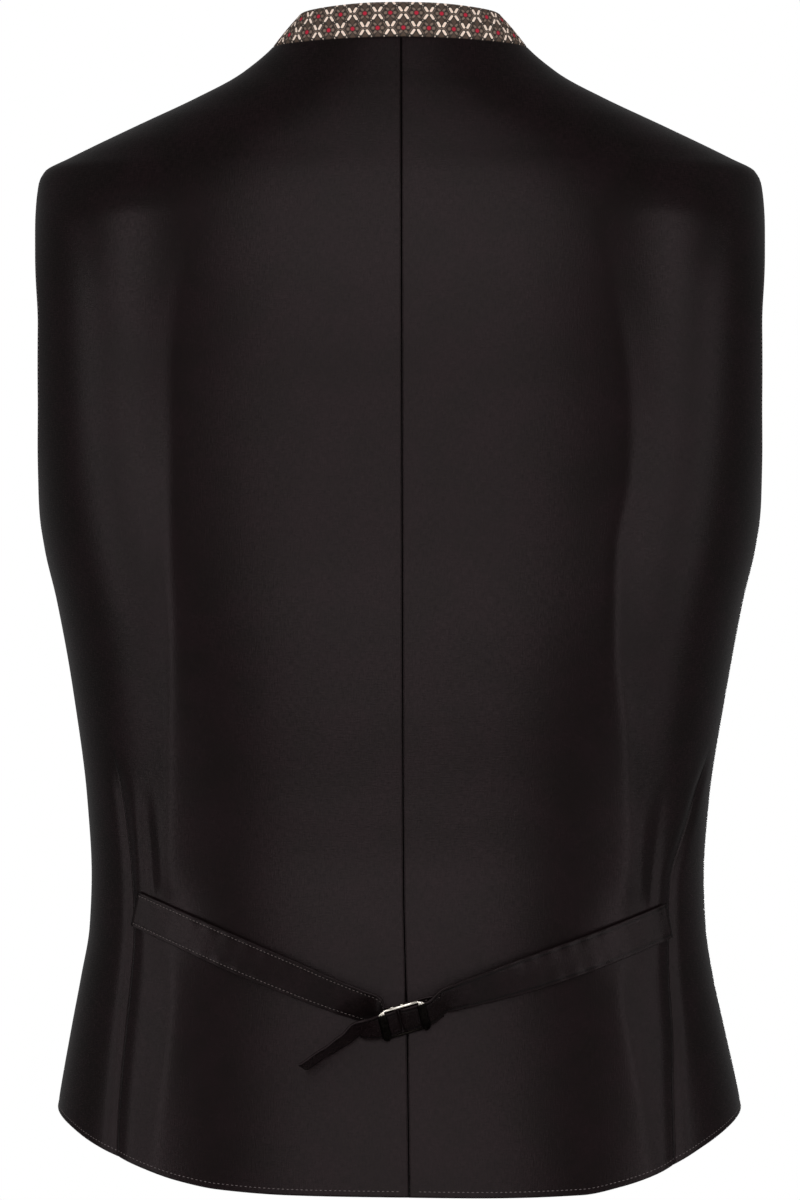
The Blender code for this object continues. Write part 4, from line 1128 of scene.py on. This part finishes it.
def woven_jacquard():
    """Wool and cotton jacquard: cream crosses and red flowers in a brown lattice, woven in fine threads.
    All its places and sizes are in millimetres, and each row is shifted by half a repeat."""
    tree, finish = new_material("woven_jacquard")
    in_mm = vector(tree, "SCALE", add(tree, "UVMap", uv_map="cloth"), Scale=1000.0)
    parts = add(tree, "SeparateXYZ", in_mm).node
    across, up = parts.outputs[0], parts.outputs[1]
    half_up = REPEAT_UP / 2
    row = number(tree, "FLOOR", number(tree, "MULTIPLY_ADD", up, 1 / REPEAT_UP, 0.5))
    from_row = number(tree, "MULTIPLY_ADD", row, -REPEAT_UP, up)
    odd = number(tree, "FLOORED_MODULO", row, 2.0)
    shifted = number(tree, "MULTIPLY_ADD", odd, REPEAT_ACROSS, across)
    flower_x, cross_x = (
        number(tree, "ABSOLUTE", number(tree, "WRAP", place, REPEAT_ACROSS, -REPEAT_ACROSS))
        for place in (shifted, number(tree, "ADD", shifted, REPEAT_ACROSS)))
    row_y = number(tree, "ABSOLUTE", from_row)
    drop = number(tree, "MULTIPLY", number(tree, "LESS_THAN", from_row, 0.0), row_y)
    spread = number(tree, "MULTIPLY_ADD", drop, -0.07, cross_x)
    flower, cross, knot_at = (add(tree, "CombineXYZ", x, row_y) for x in (flower_x, spread, cross_x))

    cream, ground, light = colour("#dcc7b8"), colour("#43342a"), colour("#6e5d52")
    dark, red, red_edge, pale = colour("#120b07"), colour("#a00c2a"), colour("#4c0612"), colour("#b8a699")

    # the lattice of diamonds, and the petals of the cross with a light and a dark line outside them
    nearest = number(tree, "MINIMUM", flower_x, cross_x)
    to_edge = number(tree, "MULTIPLY_ADD", row_y, -1 / 3.5, half_up / 3.5)
    diamond = number(tree, "MULTIPLY_ADD", nearest, 1 / 1.75, to_edge)
    outline = number(tree, "ABSOLUTE", number(tree, "SUBTRACT", diamond, 1.0))
    petal_foot = (0.95, 1.55, 0.0)
    petal = capsule(tree, cross, petal_foot, (1.95, 3.95, 0.0))
    petals = within(tree, petal, 0.64, 0.8)
    offset = vector(tree, "SUBTRACT", cross, petal_foot)
    outer_side = ramp(tree, vector(tree, "DOT_PRODUCT", offset, (0.923, -0.385, 0.0), out=1), -0.1, 0.3)
    light_line = within(tree, number(tree, "ABSOLUTE", number(tree, "SUBTRACT", petal, 1.5)), 0.12, 0.26)
    eye = oval(tree, cross, (0.0, 0.0, 0.0), (0.5, 0.4))
    # the flower: four pale petals round a red centre, with dark dots between them
    side_petal = within(tree, oval(tree, flower, (2.3, 0.0, 0.0), (0.92, 1.15)), 0.85, 1.1)
    slant_petal = within(tree, oval(tree, flower, (1.25, 2.6, 0.0), (0.72, 1.35), -32), 0.85, 1.1)
    dots = oval(tree, flower, (2.3, 1.9, 0.0), (0.6, 0.7))
    centre = oval(tree, flower, (0.0, 0.0, 0.0), (1.32, 1.75))
    knot = vector(tree, "DISTANCE", knot_at, (REPEAT_ACROSS / 2, half_up, 0.0), out=1)
    shade = ground
    for over, share in (
        (colour("#33271e"), ramp(tree, diamond, 0.85, 1.1)),
        (dark, within(tree, outline, 0.09, 0.19)),
        (dark, number(tree, "MULTIPLY", within(tree, petal, 1.9, 2.15), outer_side)),
        (light, number(tree, "MULTIPLY", light_line, outer_side)),
        (dark, within(tree, petal, 1.12, 1.3)),
        (light, number(tree, "MAXIMUM", side_petal, slant_petal)),
        (dark, number(tree, "MULTIPLY", within(tree, centre, 1.25, 1.4), 0.6)),
        (dark, within(tree, dots, 0.8, 1.1)),
        (red_edge, within(tree, centre, 0.95, 1.08)),
        (red, within(tree, centre, 0.55, 0.95)),
        (dark, within(tree, knot, 0.95, 1.2)),
        (pale, within(tree, knot, 0.26, 0.4)),
        (cream, petals),
        (light, within(tree, eye, 0.8, 1.1)),
    ):
        shade = painted(tree, shade, over, share)

    ribs = add(tree, "TexWave", in_mm, named={"Scale": 1.1, "Distortion": 0.6, "Detail": 1.0},
               wave_type="BANDS", bands_direction="DIAGONAL")
    grain = add(tree, "TexNoise", in_mm, named={"Scale": 2.2, "Detail": 3.0})
    tone = number(tree, "MULTIPLY", ramp(tree, ribs, 0.0, 1.0, 0.86, 1.06),
                  ramp(tree, grain, 0.3, 0.7, 0.88, 1.1))
    shade = add(tree, "MixRGB", 1.0, shade, tone, blend_type="MULTIPLY")
    relief = number(tree, "MULTIPLY_ADD", petals, 0.5, ribs)
    bump = add(tree, "Bump", named={"Strength": 0.5, "Distance": 0.00015, "Height": relief})
    return finish(Base_Color=shade, Roughness=0.78, Normal=bump, Specular_IOR_Level=0.35)


def thread(name, hex_value, sheen):
    """Sewing thread: spun polyester, a little glossier than the cloth."""
    tree, finish = new_material(name)
    twist = add(tree, "TexNoise", add(tree, "TexCoord", out=3), named={"Scale": 2500.0, "Detail": 1.0})
    base = painted(tree, colour(hex_value), colour("#050404"), ramp(tree, twist, 0.4, 0.75, 0.0, 0.5))
    return finish(Base_Color=base, Roughness=0.5, Specular_IOR_Level=sheen)


def metal(name, hex_value, rough, tarnish):
    """Cast and plated metal: tarnish in patches and fine scratches."""
    tree, finish = new_material(name)
    place = add(tree, "TexCoord", out=3)
    patches = add(tree, "TexNoise", place, named={"Scale": 320.0, "Detail": 4.0})
    scratches = streaks(tree, place, (300, 4000, 900))
    base = painted(tree, colour(hex_value), colour(tarnish), ramp(tree, patches, 0.45, 0.7))
    roughness = add(tree, "MapRange", scratches, 0.3, 0.7, rough - 0.08, rough + 0.1)
    bump = add(tree, "Bump", named={"Strength": 0.15, "Distance": 0.0001, "Height": scratches})
    return finish(Base_Color=base, Metallic=1.0, Roughness=roughness, Normal=bump)


# ---------------------------------------------------------------- studio

def camera():
    """Level camera behind the vest; the lens frames 416 by 624 mm at the shoulders' depth."""
    data = bpy.data.cameras.new("camera")
    data.sensor_width = SENSOR
    data.lens = SENSOR * CAMERA_DISTANCE / FRAME_HEIGHT
    data.clip_start = 0.1
    made = linked("camera", data)
    made.location = (0.0, -CAMERA_DISTANCE, CAMERA_HEIGHT)
    made.rotation_euler = (pi / 2, 0.0, 0.0)
    bpy.context.scene.camera = made


def softbox(box):
    """A white panel of light that faces its aim."""
    data = bpy.data.lights.new(box.name, "AREA")
    data.shape = "RECTANGLE"
    data.size, data.size_y = box.size
    data.energy = box.power
    made = linked(box.name, data)
    made.location = box.place
    made.rotation_euler = (Vector(box.aim) - Vector(box.place)).to_track_quat("-Z", "Y").to_euler()


def studio():
    """White surroundings that light the cloth softly, panels of light on all sides, a pale floor."""
    world = bpy.data.worlds.new("studio")
    bpy.context.scene.world = world
    world.use_nodes = True
    tree = world.node_tree
    tree.nodes.clear()
    seen = add(tree, "LightPath")
    strength = add(tree, "MapRange", seen, 0.0, 1.0, WORLD_LIGHT, 1.0)
    add(tree, "OutputWorld", add(tree, "Background", colour("#ffffff"), strength))
    for box in SOFTBOXES:
        softbox(box)
    _, finish = new_material("studio_floor")
    corners = np.array([(-1, -1, 1), (1, -1, 1), (1, 1, 1), (-1, 1, 1)])
    floor = new_object("floor", corners * np.array([FLOOR_HALF, FLOOR_HALF, FLOOR_HEIGHT]),
                       [np.arange(4)], finish(Base_Color=colour("#f4f4f4"), Roughness=0.9))
    bpy.context.scene.view_settings.view_transform = "Standard"


def build():
    camera()
    studio()
    satin, jacquard = black_satin(), woven_jacquard()
    seam_thread = thread("brown_black_thread", "#4a3f3e", 0.3)
    dark_thread = thread("black_thread", "#040303", 0.1)
    light_thread = thread("grey_thread", "#5a5050", 0.5)
    dark_metal = metal("gunmetal", "#1d1a17", 0.32, "#0c0a08")
    # pale metal for the buckle's top rail: a painted highlight
    painted_highlight_metal = metal("rail_painted_highlight", "#e6dfd4", 0.2, "#b9b2a6")
    silver = metal("antique_silver", "#b9b4aa", 0.34, "#3c3833")
    backs = {side: half_back(side, satin) for side in SIDES}
    fronts = {side: front(side, jacquard) for side in SIDES}
    collar(jacquard)
    for side, name in SIDES.items():
        armhole_stitches("armhole_stitches_back_%s" % name, backs[side], light_thread)
        armhole_stitches("armhole_stitches_front_%s" % name, fronts[side], light_thread)
        hem_stitches("hem_stitches_back_%s" % name, backs[side], light_thread)
    left = ribbon(-1, strap_stations(LEFT_STRAP)
                  + buckle_stations(LEFT_IN + round_bar(LEFT_BAR, 1) + LEFT_OUT)
                  + strap_stations(STRAP_TAIL), satin)
    right = ribbon(1, strap_stations(RIGHT_STRAP)
                   + buckle_stations(RIGHT_IN + round_bar(RIGHT_BAR, -1)[::-1] + RIGHT_OUT), satin)
    strap_stitches(-1, left, seam_thread)
    strap_stitches(1, right, seam_thread)
    end_stitches(right, dark_thread)
    buckle(dark_metal, painted_highlight_metal)
    for count in range(1, BUTTON_COUNT + 1):
        button(count, silver)


build()
